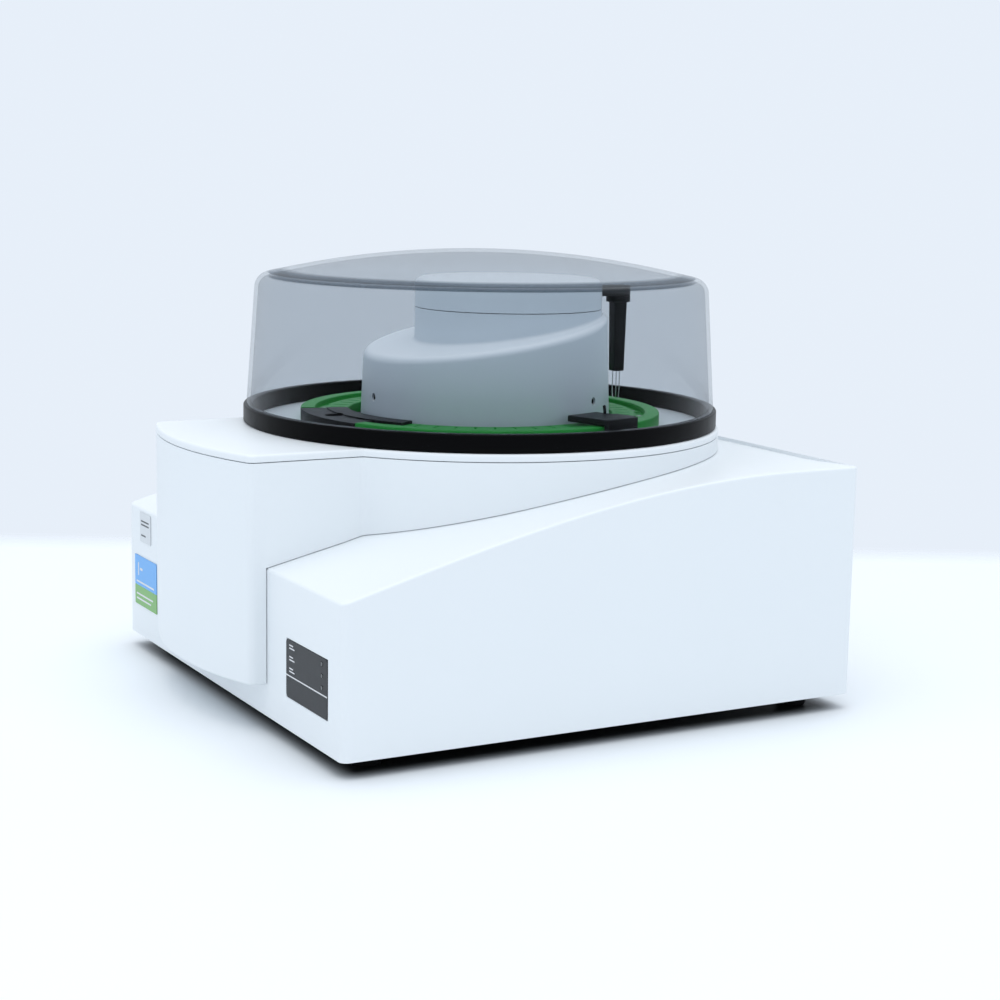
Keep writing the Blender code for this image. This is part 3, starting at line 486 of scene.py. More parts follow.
def paint_light_on_upward_faces(material, colour):
    """Painted light: moves a material's colour towards a paler one on faces that look up, as if lit from
    above.
    """
    tree = material.node_tree
    base_colour = tree.nodes["Principled BSDF"].inputs["Base Color"]
    place = new_node(tree, "TexCoord")
    parts = new_node(tree, "SeparateXYZ", feeds={"Vector": place.outputs["Normal"]})
    upward = ramp(tree, parts.outputs["Z"], 0.1, 0.95)
    tree.links.new(mixed(tree, upward, base_colour.links[0].from_socket, colour), base_colour)


def painted_shoulder_shade(tree):
    """How much painted shade lies at a point: a dark ring on the crown's near side, which stands in for the
    shade that the shoulder's curved wall shows.
    """
    place = new_node(tree, "TexCoord")
    centred = new_node(tree, "Mapping", {"Location": (-AXIS.x * MM, -AXIS.y * MM, 0.0)},
                       {"Vector": place.outputs["Object"]})
    parts = new_node(tree, "SeparateXYZ", feeds={"Vector": centred.outputs["Vector"]})
    flat = new_node(tree, "CombineXYZ", feeds={"X": parts.outputs["X"], "Y": parts.outputs["Y"]})
    radius = new_node(tree, "VectorMath", feeds={0: flat.outputs["Vector"]})
    radius.operation = "LENGTH"
    nearness = new_node(tree, "VectorMath", {1: (math.sin(CAMERA_YAW), -math.cos(CAMERA_YAW), 0.0)},
                        {0: flat.outputs["Vector"]})
    nearness.operation = "DOT_PRODUCT"
    rise = ramp(tree, radius.outputs["Value"], BAND_START * MM, (BAND_START + 7.0) * MM)
    fall = ramp(tree, radius.outputs["Value"], BAND_END * MM, (BAND_END + 1.5) * MM, 1.0, 0.0)
    high = ramp(tree, parts.outputs["Z"], BAND_LOW * MM, (BAND_LOW + 0.5) * MM)
    near = ramp(tree, nearness.outputs["Value"], -20.0 * MM, 40.0 * MM)
    share = calculate(tree, "MULTIPLY", rise, fall)
    share = calculate(tree, "MULTIPLY", share, high)
    return calculate(tree, "MULTIPLY", share, near)


def smoked_acrylic():
    """Thin smoked plastic: a tinted see-through wall with a sheen that grows where it is seen edge-on, and
    painted shade in a dark ring on the shoulder's near side.
    """
    material, tree = new_material("smoked_acrylic")
    tree.nodes.remove(tree.nodes["Principled BSDF"])
    # The shoulder's painted shade darkens the smoke's tint in a ring on the near side.
    smoke_with_painted_shade = mixed(tree, painted_shoulder_shade(tree), SMOKE, SHOULDER_PAINTED_SHADE)
    clear = new_node(tree, "BsdfTransparent", feeds={"Color": smoke_with_painted_shade})
    sheen = new_node(tree, "BsdfGlossy", {"Roughness": 0.03})
    edge_on = new_node(tree, "LayerWeight", {"Blend": 0.5})
    steep = calculate(tree, "POWER", edge_on.outputs["Facing"], 4.0)
    share = calculate(tree, "MULTIPLY_ADD", steep, 0.35, 0.003)
    blend = new_node(tree, "MixShader", feeds={0: share, 1: clear.outputs[0], 2: sheen.outputs[0]})
    tree.links.new(blend.outputs[0], tree.nodes["Material Output"].inputs["Surface"])
    return material


WHITE = surface("white_enamel", (0.83, 0.865, 0.885), 0.42, mottle=0.015, mottle_scale=9,
                grain=0.02, grain_scale=1400, rough_spread=0.05)
TOWER_GREY = surface("grey_moulding", (0.70, 0.765, 0.815), 0.38, mottle=0.02, mottle_scale=14,
                     grain=0.015, grain_scale=1800, rough_spread=0.04)
RING_BLACK = surface("black_ring", (0.001, 0.001, 0.0014), 0.33, mottle=0.3, mottle_scale=60,
                     grain=0.01, grain_scale=1500, rough_spread=0.06, gloss=0.05)
# Painted highlight: the tower's ledge and other upward faces are paler, as if lit from above.
paint_light_on_upward_faces(TOWER_GREY, (0.96, 0.98, 1.0))
BLACK = surface("black_plastic", (0.004, 0.0045, 0.006), 0.42, mottle=0.25, mottle_scale=70,
                grain=0.03, grain_scale=2200, rough_spread=0.06, gloss=0.2)
GREEN = surface("green_moulding", (0.02, 0.33, 0.045), 0.4, mottle=0.1, mottle_scale=25,
                grain=0.02, grain_scale=1600, rough_spread=0.05, gloss=0.25)
RUBBER = surface("foot_rubber", (0.008, 0.008, 0.009), 0.85, mottle=0.3, mottle_scale=90,
                 grain=0.05, grain_scale=1300, rough_spread=0.08, gloss=0.1)
# Painted shade: the bottom tray is near black, standing in for the shadow under the casing.
SHADED_TRAY_STEEL = surface("shadowed_steel", (0.02, 0.021, 0.023), 0.6, mottle=0.15, mottle_scale=22,
                     grain=0.01, grain_scale=900, rough_spread=0.06, gloss=0.1)
STEEL = surface("plated_steel", (0.56, 0.57, 0.575), 0.34, 1.0, mottle=0.12, mottle_scale=22,
                grain=0.004, grain_scale=500, rough_spread=0.08, brushed=(1, 18, 1))
WIRE_STEEL = surface("bright_wire", (0.72, 0.72, 0.72), 0.22, 1.0, mottle=0.1, mottle_scale=200,
                     rough_spread=0.05)
PAN_METAL = surface("pressed_aluminium", (0.80, 0.81, 0.82), 0.3, 1.0, mottle=0.1,
                    mottle_scale=400, rough_spread=0.08)
ALUMINIUM = surface("machined_aluminium", (0.62, 0.63, 0.64), 0.32, 1.0, mottle=0.08,
                    mottle_scale=40, grain=0.004, grain_scale=400, rough_spread=0.06,
                    brushed=(1, 1, 30))
BRASS = surface("machined_brass", (0.72, 0.53, 0.24), 0.28, 1.0, mottle=0.15, mottle_scale=60,
                grain=0.004, grain_scale=700, rough_spread=0.06)
REAR_GREY = surface("powder_grey", (0.55, 0.58, 0.60), 0.5, mottle=0.05, mottle_scale=20,
                    grain=0.05, grain_scale=1100, rough_spread=0.05)
PANEL_DARK = surface("status_film", (0.024, 0.025, 0.028), 0.35, mottle=0.15, mottle_scale=50,
                     grain=0.01, grain_scale=1500, rough_spread=0.04, gloss=0.2)
LENS_DARK = surface("lens_dark", (0.006, 0.008, 0.008), 0.1, mottle=0.3, mottle_scale=120, coat=0.5)
PRINT_WHITE = surface("white_print", (0.75, 0.76, 0.77), 0.5, mottle=0.05, mottle_scale=80)
LABEL_BLUE = surface("blue_film", (0.095, 0.40, 0.86), 0.35, mottle=0.05, mottle_scale=40,
                     grain=0.01, grain_scale=900, coat=0.2)
LABEL_GREEN = surface("green_film", (0.15, 0.42, 0.08), 0.35, mottle=0.05, mottle_scale=40,
                      grain=0.01, grain_scale=900, coat=0.2)
TAG_PAPER = surface("tag_paper", (0.72, 0.75, 0.77), 0.6, mottle=0.06, mottle_scale=60,
                    grain=0.02, grain_scale=1200)
TAG_PRINT = surface("tag_print", (0.10, 0.11, 0.12), 0.55, mottle=0.2, mottle_scale=100)
BOARD = surface("circuit_board", (0.02, 0.14, 0.06), 0.4, mottle=0.35, mottle_scale=120,
                grain=0.04, grain_scale=500)
MOTOR = surface("motor_black", (0.03, 0.03, 0.032), 0.4, 0.3, mottle=0.2, mottle_scale=60,
                grain=0.02, grain_scale=1200)
ACETAL = surface("acetal", (0.72, 0.70, 0.62), 0.45, mottle=0.05, mottle_scale=40,
                 grain=0.01, grain_scale=1000)
ACRYLIC = smoked_acrylic()


# ---------------------------------------------------------------- casings

def make_casings():
    outer = base_skin(0.0, BASE_LOW.z, EDGE)
    inner = base_skin(WALL, BASE_LOW.z - 10, 1.0)
    opening = cylinder(TOP_OPENING, (0, 0, 125), 130, sides=128)
    rear = box((REAR_LOW.x - 0.5, BASE_HIGH.y - 20, REAR_LOW.z - 0.5),
               (REAR_HIGH.x + 0.5, BASE_HIGH.y + 20, REAR_HIGH.z + 0.5))
    pocket = box((STATUS_LOW.x - 0.3, BASE_LOW.y - 5, STATUS_LOW.z - 0.3),
                 (STATUS_HIGH.x + 0.3, BASE_LOW.y + 1.2, STATUS_HIGH.z + 0.3))
    base = cut(outer, inner, opening, rear, pocket)
    add_piece("base_casing", base, "base", WHITE, ("base_housing",), 28)

    low, high = SLEEVE_LOW.z, SLEEVE_HIGH.z
    rings = []
    for step in range(7):
        angle = math.pi / 2 * step / 6
        shift, rise = 2.5 * (1 - math.sin(angle)), 2.5 * (1 - math.cos(angle))
        rings.append([(x, y, low + rise) for x, y in deck_outline(shift)])
    rings.append([(x, y, high - 0.4) for x, y in deck_outline()])
    rings.append([(x, y, high) for x, y in deck_outline(0.4)])
    hollow = prism_of(deck_outline(WALL), low + WALL, high + 20)
    sleeve = cut(loft(rings), hollow, underside(SEAM))
    add_piece("upper_casing", sleeve, "base", WHITE, ("upper_housing",), 28)

    rings = [[(x, y, DECK_LOW.z) for x, y in deck_outline(0.4)],
             [(x, y, DECK_LOW.z + 0.4) for x, y in deck_outline()]]
    for step in range(7):
        angle = math.pi / 2 * step / 6
        shift, drop = 2.2 * (1 - math.cos(angle)), 2.2 * (1 - math.sin(angle))
        rings.append([(x, y, DECK_HIGH.z - drop) for x, y in deck_outline(shift)])
    hole = cylinder(DECK_OPENING, (0, 0, DECK_LOW.z - 5), 20, sides=128)
    port = cylinder(8.0, (0, WELL_CIRCLE, DECK_LOW.z - 5), 20, sides=48)
    add_piece("deck_top", cut(loft(rings), hole, port), "base", WHITE,
              ("deck_plate",), 28)


# ---------------------------------------------------------------- dome

def sagitta(radius):
    return CROWN_RADIUS - math.sqrt(CROWN_RADIUS ** 2 - radius ** 2)


def dome_side(inset, corner):
    """Points from the crown down to the foot for one skin of the dome."""
    edge = DOME_SHOULDER - SHOULDER_RADIUS
    lean = math.degrees(math.asin(edge / CROWN_RADIUS))
    crown = SHOULDER_Z + SHOULDER_RADIUS + sagitta(edge)
    centre = (DOME_SHOULDER - inset - corner, SHOULDER_Z + SHOULDER_RADIUS - inset - corner)
    points = [(edge * n / 24, crown - inset - sagitta(edge * n / 24)) for n in range(24)]
    points += arc(centre, corner, 90 - lean, 3, 12)
    foot = DOME_HIGH.x - inset
    for n in range(1, 9):
        t = n / 8
        points.append((DOME_SHOULDER - inset + (foot - DOME_SHOULDER + inset) * t,
                       SHOULDER_Z + (DOME_LOW.z - SHOULDER_Z) * t))
    return points


def make_dome():
    inside = dome_side(DOME_WALL, SHOULDER_RADIUS - DOME_WALL)
    profile = dome_side(0.0, SHOULDER_RADIUS) + inside[::-1]
    add_piece("dome_clear", turned(profile, 256, closed=False), "dome", ACRYLIC,
              ("dome_shell",), 40)
    low, high, outer, inner = RING_LOW.z, RING_HIGH.z, RING_HIGH.x, RING_INNER
    ring = arc((outer - 1.6, high - 1.6), 1.6, 90, 0, 5) + arc((outer - 0.8, low + 0.8), 0.8, 0, -90, 3)
    ring += [(inner, low), (inner, high - 0.6), (inner + 0.6, high)]
    add_piece("dome_seat", turned(ring, 256), "dome", RING_BLACK, ("dome_ring",), 30)


# ---------------------------------------------------------------- carousel

def sector(start_deg, end_deg, inner, outer, low, high, steps=24):
    outline = arc((0, 0), outer, start_deg, end_deg, steps) + arc((0, 0), inner, end_deg, start_deg, steps)
    return prism_of(outline, low, high)


def well_angles():
    count = int(360 / WELL_PITCH_DEG)
    angles = [WELL_PITCH_DEG * step for step in range(count)]
    return [angle + WINDOW_CENTRE_DEG for angle in angles
            if WINDOW_HALF_DEG + 2 < angle < 358 - WINDOW_HALF_DEG]


def make_carousel():
    top, low = TRAY_HIGH.z, TRAY_LOW.z
    section = arc((TRAY_OUTER - 1.2, top - 1.2), 1.2, 90, 0, 4) + [(TRAY_OUTER, low), (TRAY_INNER, low)]
    section += [(TRAY_INNER, TRAY_BAND - 0.6), (TRAY_INNER + 0.6, TRAY_BAND), (BAND_OUTER - 0.5, TRAY_BAND),
                (BAND_OUTER, TRAY_BAND - 0.5), (BAND_OUTER, TRAY_GROOVE), (RIM_INNER, TRAY_GROOVE),
                (RIM_INNER, top - 0.5), (RIM_INNER + 0.5, top)]
    start, end = WINDOW_CENTRE_DEG - WINDOW_HALF_DEG, WINDOW_CENTRE_DEG + WINDOW_HALF_DEG
    gap = sector(start, end, 60, 190, low - 10, top + 10)
    wells, slots = [], []
    for angle in well_angles():
        x, y = polar(WELL_CIRCLE, angle)
        wells.append(cylinder(WELL_RADIUS, (x, y, TRAY_GROOVE - 2.6), 14, sides=20))
        turn = Matrix.Rotation(math.radians(angle), 4, "Z")
        slots.append(box((109.5, -0.8, TRAY_BAND - 1.2), (121, 0.8, TRAY_BAND + 5), turn=turn))
    tray = cut(turned(section, 240), gap, merged(wells), merged(slots))
    add_piece("tray_green", tray, "carousel", GREEN, ("carousel_tray",), 30)

    plate = sector(start + 0.3, end - 0.3, TRAY_INNER, TRAY_OUTER, low, top - 0.4)
    step = sector(start + 2, end + 12, TRAY_INNER + 1, BAND_OUTER - 1, TRAY_BAND + 0.1, top + 0.6)
    hole = cylinder(7.5, (*polar(WELL_CIRCLE, WINDOW_CENTRE_DEG), low - 5), 30, sides=48)
    add_piece("tray_plate", cut(fuse(plate, step), hole), "carousel", BLACK,
              ("tray_window",), 30)
    make_pans()


def make_pans():
    """Crimped sample pans with a shallow dished lid, in some of the wells."""
    top = TRAY_GROOVE + 0.5
    for number, angle in enumerate(well_angles()):
        if number % 7 in (3, 6) and number != 24:
            continue
        profile = [(0.0, top - 1.3), (2.0, top - 1.25), (2.3, top - 0.7), (2.7, top - 0.7),
                   (2.8, top - 1.0), (2.45, top - 1.4), (2.4, top - 2.9), (0.0, top - 2.9)]
        pan = turned(profile, 24, polar(WELL_CIRCLE, angle), closed=False)
        stands_for = ("sample_pan",) if abs(angle - 90) < 0.1 else ()
        add_piece(f"sample_pan_{number:02d}", pan, "carousel", PAN_METAL, stands_for, 30)


# ---------------------------------------------------------------- tower

def ledge_z(place):
    """Height of the sloping ledge at a place in plan."""
    return LEDGE_FRONT_Z + LEDGE_SLOPE * (place.y - LEDGE_FRONT_Y)


def tower_profile(azimuth, inset):
    """One upright section of the tower: wall, soft ledge rim, ledge, fillet and drum."""
    away = Vector((math.cos(azimuth), math.sin(azimuth)))
    base = Vector(TOWER_CENTRE)
    shift = DRUM_CENTRE[1] - TOWER_CENTRE[1]
    drum = DRUM_RADIUS - inset
    drum_at = shift * away.y + math.sqrt(drum ** 2 - (shift * away.x) ** 2)

    def wall(z):
        return TOWER_FOOT_RADIUS - inset - (z - TOWER_LOW.z) * TOWER_TAPER

    def point(radius, z):
        place = base + away * radius
        return (place.x, place.y, z)

    edge_radius = wall(270)
    edge_z = ledge_z(base + away * edge_radius) - inset
    width = max(0.6, edge_radius - drum_at)
    rim, fillet = min(6.0, width * 0.45), min(3.0, width * 0.25)
    points = [point(wall(TOWER_LOW.z + (edge_z - rim - TOWER_LOW.z) * n / 6),
                    TOWER_LOW.z + (edge_z - rim - TOWER_LOW.z) * n / 6) for n in range(6)]
    for n in range(9):
        a = math.pi / 2 * n / 8
        radius = wall(edge_z) - rim + rim * math.cos(a)
        height = ledge_z(base + away * radius) - inset - rim * (1 - math.sin(a))
        points.append(point(radius, height))
    inner_edge = drum_at + fillet
    for n in (1, 2):
        radius = wall(edge_z) - rim + (inner_edge - wall(edge_z) + rim) * n / 3
        points.append(point(radius, ledge_z(base + away * radius) - inset))
    for n in range(6):
        b = math.pi / 2 * n / 5
        radius = drum_at + fillet * (1 - math.sin(b))
        lift = fillet * (1 - math.cos(b))
        points.append(point(radius, ledge_z(base + away * radius) - inset + lift))
    foot_z = points[-1][2]
    top = TOWER_HIGH.z - inset
    points += [point(drum_at, foot_z + (top - foot_z) * n / 4) for n in range(1, 5)]
    return points


def tower_skin(inset, steps=240):
    sections = [tower_profile(2 * math.pi * n / steps, inset) for n in range(steps)]
    return loft([list(ring) for ring in zip(*sections)])


def screw_head(place, turn, radius=3.0, height=1.8):
    """A pan head with a cross recess that faces +X before it is turned."""
    profile = [(0.0, height), (radius * 0.6, height * 0.93), (radius * 0.9, height * 0.6),
               (radius, 0.3), (radius, 0.0), (0.0, 0.0)]
    head = turned(profile, 32, closed=False)
    slots = [box((-radius * 0.55, -0.35, height * 0.45), (radius * 0.55, 0.35, height + 1)),
             box((-0.35, -radius * 0.55, height * 0.45), (0.35, radius * 0.55, height + 1))]
    head = cut(head, *slots)
    lean = Matrix.Rotation(math.pi / 2, 4, "Y")
    bmesh.ops.transform(head, matrix=turn @ Matrix.Translation(place) @ lean, verts=head.verts)
    return head


def make_tower():
    outer = tower_skin(0.0)
    hollow = tower_skin(WALL)
    bmesh.ops.translate(hollow, vec=(0, 0, -0.5), verts=hollow.verts)
    bore = cylinder(8, (*DRUM_CENTRE, 270), 60, sides=32)
    spin = [Matrix.Translation((*TOWER_CENTRE, 0)) @ Matrix.Rotation(math.radians(a), 4, "Z")
            for a in SCREW_ANGLES]
    holes = [cylinder(3.2, (90, 0, SCREW_Z), 20, "X", 32, turn=turn) for turn in spin]
    add_piece("tower_cover", cut(outer, hollow, bore, *holes), "base", TOWER_GREY,
              ("tower_shell",), 40)
    for number, turn in enumerate(spin, 1):
        head = screw_head((97.2, 0, SCREW_Z), turn, 2.8, 1.7)
        add_piece(f"tower_screw_head_{number}", head, "base", BLACK,
                  (f"tower_screw_{number}",), 30)

    low, high = CAP_LOW.z, CAP_HIGH.z
    profile = [(0.0, high)] + arc((DRUM_RADIUS - 6, high - 6), 6, 90, 0, 8)
    profile += [(DRUM_RADIUS, low + 0.1), (DRUM_RADIUS - 0.1, low), (DRUM_RADIUS - 3, low),
                (DRUM_RADIUS - 3, high - 6), (DRUM_RADIUS - 7, high - 2.4), (0.0, high - 2.4)]
    slot = box((ARM_LOW.x - 0.4, DRUM_CENTRE[1] + 40, ARM_LOW.z - 0.4),
               (ARM_HIGH.x + 0.4, DRUM_CENTRE[1] + 90, ARM_HIGH.z + 0.4))
    cap = cut(turned(profile, 240, DRUM_CENTRE, closed=False), slot)
    add_piece("head_cover", cap, "head", TOWER_GREY, ("head_cap",), 30)


# ---------------------------------------------------------------- gripper

def make_gripper():
    half = ARM_HIGH.x
    outline = arc((0, WELL_CIRCLE), half, 0, 180, 24) + arc(DRUM_CENTRE, half, 180, 360, 24)
    rings = [[(x * 0.97, WELL_CIRCLE + (y - WELL_CIRCLE) * 0.995, ARM_LOW.z) for x, y in outline],
             [(x, y, ARM_LOW.z + 0.6) for x, y in outline],
             [(x, y, ARM_HIGH.z - 1.2) for x, y in outline],
             [(x * 0.9, WELL_CIRCLE + (y - WELL_CIRCLE) * 0.985, ARM_HIGH.z) for x, y in outline]]
    add_piece("arm_cover", loft(rings), "head", BLACK, ("swing_arm",), 30)

    low, high = GRIPPER_LOW.z, GRIPPER_HIGH.z
    rings = []
    for z, half_width, corner in ((low, 4.4, 0.8), (low + 0.7, 4.8, 1.1), (FLANGE_Z, 5.7, 1.3)):
        square = []
        for cx, cy, start in ((1, -1, -90), (1, 1, 0), (-1, 1, 90), (-1, -1, 180)):
            centre = (cx * (half_width - corner), cy * (half_width - corner))
            square += arc(centre, corner, start, start + 90, 5)
        rings.append([(x, y + WELL_CIRCLE, z) for x, y in square])
    body = loft(rings)
    flange = cylinder(FLANGE_RADIUS, (0, WELL_CIRCLE, FLANGE_Z - 0.5), high - FLANGE_Z + 0.5,
                      sides=64, bevel=0.5)
    bore = cylinder(BORE_RADIUS, (0, WELL_CIRCLE, low - 5), FLANGE_Z - 0.8 - low + 5, sides=48)
    body = cut(fuse(body, flange), bore)
    add_piece("gripper_sleeve", body, "head", BLACK, ("gripper_body",), 30)
    plunger_low, plunger_high = local_box("gripper_plunger")
    centre = (0, WELL_CIRCLE)
    top, foot = plunger_high.z, plunger_low.z
    radius, neck = PLUNGER_RADIUS, PLUNGER_RADIUS - 0.4
    profile = [(0.0, top), (neck, top), (radius, top - 0.4), (radius, foot + 8), (neck, foot + 7.6),
               (neck, foot + 6.4), (radius, foot + 6), (radius, foot + 0.4), (neck, foot), (0.0, foot)]
    add_piece("plunger_rod", turned(profile, 48, centre, closed=False), "plunger", STEEL,
              ("gripper_plunger",), 30)
    for letter, degrees in (("a", 90), ("b", 210), ("c", 330)):
        finger_low, finger_high = local_box(f"finger_{letter}")
        x, y = polar(FINGER_CIRCLE, degrees)
        out = polar(1.0, degrees)
        path = []
        for z, shift in ((finger_high.z, 0), (246, 0), (236, 0.05), (226, 0.1), (220, 0.05),
                         (217.5, -0.2), (216.2, -0.5), (finger_low.z, -0.6)):
            path.append((x + out[0] * shift, WELL_CIRCLE + y + out[1] * shift, z))
        add_piece(f"wire_finger_{letter}", wire(path, WIRE_RADIUS, 12), f"finger_{letter}_body",
                  WIRE_STEEL, (f"finger_{letter}",), 40)


# ---------------------------------------------------------------- sensor and front trim

def make_sensor():
    top, low = SENSOR_TOP, SENSOR_LOW.z
    turn = Matrix.Rotation(math.radians(18), 4, "Z")
    leg = box((TRAY_OUTER + 1.5, -17, low), (151, 17, top), 0.6, turn=turn)
    bridge = box((109, -16.9, TRAY_HIGH.z + 0.8), (150, 16.9, top - 0.05), 0.5, turn=turn)
    flag = box((118, 10, 216), (138, 30, 217.9), 0.3, turn=turn)
    body = fuse(leg, bridge, flag)
    hook = wire([turn @ Vector(p) for p in ((120.5, 13.5, 217), (120.5, 13.5, 221), (120.0, 13.5, 224),
                                            (119.4, 13.6, 225.6))], 1.2, 12)
    add_piece("sensor_block", fuse(body, hook), "base", BLACK, ("position_sensor",), 30)


def make_front_trim():
    front = STATUS_LOW.y
    plate = rounded_plate(STATUS_LOW, STATUS_HIGH, 3.0, front, STATUS_HIGH.y, 0.25)
    holes = []
    for number in (1, 2, 3):
        low, high = local_box(f"status_lamp_{number}")
        holes.append(box((low.x - 0.3, front - 5, low.z - 0.3), (high.x + 0.3, 0, high.z + 0.3)))
        add_piece(f"lamp_lens_{number}", box(low, high, 0.35, 3), "base", LENS_DARK,
                  (f"status_lamp_{number}",))
    add_piece("status_plate", cut(plate, *holes), "base", PANEL_DARK, ("status_panel",), 30)
    line_z = STATUS_LOW.z + 16.2
    left, right = STATUS_LOW.x + 0.4, STATUS_HIGH.x - 0.4
    line = print_bar(front, left, right, line_z - 0.45, line_z + 0.45, 0.12, 0.1)
    add_piece("status_line", line, "base", PRINT_WHITE)
    make_status_signs(front)
    make_label()
    make_tag()


def print_bar(front, left, right, low, high, raised=0.06, sunk=0.03):
    """A printed bar that stands a little proud of a front face."""
    return box((left, front - raised, low), (right, front + sunk, high))


def make_status_signs(front):
    """A pair of plain bars beside each lamp, in place of words."""
    left = STATUS_LOW.x + 6
    signs = []
    for number in (1, 2, 3):
        middle = local_box(f"status_lamp_{number}")[0].z + 1.4
        for step, length in enumerate((9.0, 6.5)):
            low = middle - 1.7 + step * 2.2
            signs.append(print_bar(front, left, left + length, low, low + 0.9, 0.12, 0.1))
    add_piece("status_signs", merged(signs), "base", PRINT_WHITE)


def make_label():
    """A label in two colours with plain marks."""
    left, right, top, front = LABEL_LOW.x, LABEL_HIGH.x, LABEL_HIGH.z, LABEL_LOW.y
    lower_corner = Vector((right, 0, BLUE_OVER_GREEN_Z))
    upper_corner = Vector((left, 0, BLUE_OVER_GREEN_Z + 0.05))
    lower = rounded_plate(LABEL_LOW, lower_corner, 0.8, front, LABEL_HIGH.y, 0.05)
    upper = rounded_plate(upper_corner, LABEL_HIGH, 0.8, front, LABEL_HIGH.y, 0.05)
    add_piece("label_lower", lower, "base", LABEL_GREEN, ("colour_label",))
    add_piece("label_upper", upper, "base", LABEL_BLUE)
    marks = [print_bar(front, left + 8, left + 10, top - 17, top - 6),
             print_bar(front, left + 13, left + 19, top - 12, top - 10)]
    for z, short in ((top - 23, 6), (BLUE_OVER_GREEN_Z - 8, 9), (BLUE_OVER_GREEN_Z - 12, 14)):
        marks.append(print_bar(front, left + 4, right - short, z, z + 1.4))
    add_piece("label_marks", merged(marks), "base", PRINT_WHITE)


def make_tag():
    left, front = TAG_LOW.x, TAG_LOW.y
    tag = rounded_plate(TAG_LOW, TAG_HIGH, 1.0, front, TAG_HIGH.y, 0.05)
    add_piece("tag_paper", tag, "base", TAG_PAPER, ("blank_tag",))
    bars = [print_bar(front, left + 3, left + end, z, z + 1.3, sunk=0.05)
            for z, end in ((TAG_HIGH.z - 8, 22), (TAG_HIGH.z - 11, 22), (TAG_LOW.z + 5, 14))]
    add_piece("tag_bars", merged(bars), "base", TAG_PRINT)


def rounded_plate(low, high, corner, front, back, edge):
    """A flat plate in the X-Z plane with round corners and a softened front edge."""
    centres = ((high.x - corner, low.z + corner), (high.x - corner, high.z - corner),
               (low.x + corner, high.z - corner), (low.x + corner, low.z + corner))

    def outline(inset, y):
        points = []
        for start, centre in zip((-90, 0, 90, 180), centres):
            points += arc(centre, corner - inset, start, start + 90, 6)
        return [(x, y, z) for x, z in points]

    return loft([outline(0, back), outline(0, front + edge), outline(edge, front)])


# ---------------------------------------------------------------- feet and rear

def make_feet():
    for number in (1, 2, 3, 4):
        low, high = local_box(f"foot_{number}")
        centre = ((low.x + high.x) / 2, (low.y + high.y) / 2)
        profile = [(12.6, high.z), (13.0, high.z - 0.6), (13.0, 9.5), (12.2, 8.8), (12.4, 8.0), (11.4, 1.4),
                   (10.6, 0.3), (9.6, 0.0), (5.0, 0.0), (4.6, 1.2), (0.0, 1.2), (0.0, high.z)]
        foot = turned(profile, 64, centre, closed=False)
        add_piece(f"rubber_foot_{number}", foot, "base", RUBBER, (f"foot_{number}",), 30)


def make_rear():
    face = REAR_LOW.y + 2.0
    rear_turn = Matrix.Rotation(math.pi / 2, 4, "Z")
    number = 0
    for x in (REAR_LOW.x + 12, (REAR_LOW.x + REAR_HIGH.x) / 2, REAR_HIGH.x - 12):
        for z in (REAR_LOW.z + 10, REAR_HIGH.z - 10):
            number += 1
            turn = Matrix.Translation((x, 0, z)) @ rear_turn
            head = screw_head((face + 0.1, 0, 0), turn, 3.2, 1.8)
            add_piece(f"rear_screw_{number}", head, "base", STEEL)
    middle = (GRILLE_LOW + GRILLE_HIGH) / 2

    def on_grille(radius, angle):
        x, z = middle.x + radius * math.cos(angle), middle.z + radius * math.sin(angle)
        return (x, GRILLE_LOW.y + 0.75, z)

    wires = [wire([on_grille(radius, 2 * math.pi * k / 64) for k in range(65)], 0.7)
             for radius in (8, 14, 20, 26)]
    wires += [wire([on_grille(radius, math.radians(degrees)) for radius in (6, 18, 30, 36)], 0.7)
              for degrees in (45, 135, 225, 315)]
    add_piece("grille_wires", merged(wires), "base", STEEL, ("fan_grille",), 40)


def finish_cad_nodes():
    """Materials for the CAD nodes that are shown as they are."""
    plain = {
        "bottom_tray": SHADED_TRAY_STEEL, "rear_panel": REAR_GREY, "power_inlet": BLACK, "switch_frame": BLACK,
        "power_switch": BLACK, "data_port_1": STEEL, "data_port_2": STEEL, "gas_fitting_1": BRASS,
        "gas_fitting_2": BRASS, "fan_frame": BLACK, "fan_rotor": BLACK, "chassis": STEEL,
        "main_board": BOARD, "power_supply": STEEL, "furnace_block": ALUMINIUM,
        "furnace_neck": ALUMINIUM, "furnace_cover": ALUMINIUM, "heat_sink": ALUMINIUM,
        "cover_pivot": STEEL, "carousel_motor": MOTOR, "head_motor": MOTOR, "motor_bracket": STEEL,
        "turntable": BLACK, "turntable_bearing": STEEL, "ring_gear": ACETAL, "drive_pinion": BRASS,
        "tower_base": STEEL, "head_shaft": STEEL,
    }
    for name, material in plain.items():
        item = NODES[name]
        item.data.materials.clear()
        item.data.materials.append(material)


# ---------------------------------------------------------------- stage, light and camera


def make_camera():
    forward = Vector((-math.sin(CAMERA_YAW) * math.cos(CAMERA_PITCH),
                      math.cos(CAMERA_YAW) * math.cos(CAMERA_PITCH), -math.sin(CAMERA_PITCH)))
    level = Vector((math.cos(CAMERA_YAW), math.sin(CAMERA_YAW), 0.0))
    upright = level.cross(forward)
    right = level * math.cos(CAMERA_ROLL) + upright * math.sin(CAMERA_ROLL)
    up = upright * math.cos(CAMERA_ROLL) - level * math.sin(CAMERA_ROLL)
    data = bpy.data.cameras.new("camera")
    data.lens = LENS
    data.sensor_width = 36.0
    data.clip_end = 50.0
    camera = bpy.data.objects.new("camera", data)
    camera.matrix_world = Matrix((right, up, -forward)).transposed().to_4x4()
    camera.location = (CAMERA_PLACE + AXIS) * MM
    bpy.context.scene.collection.objects.link(camera)
    bpy.context.scene.camera = camera


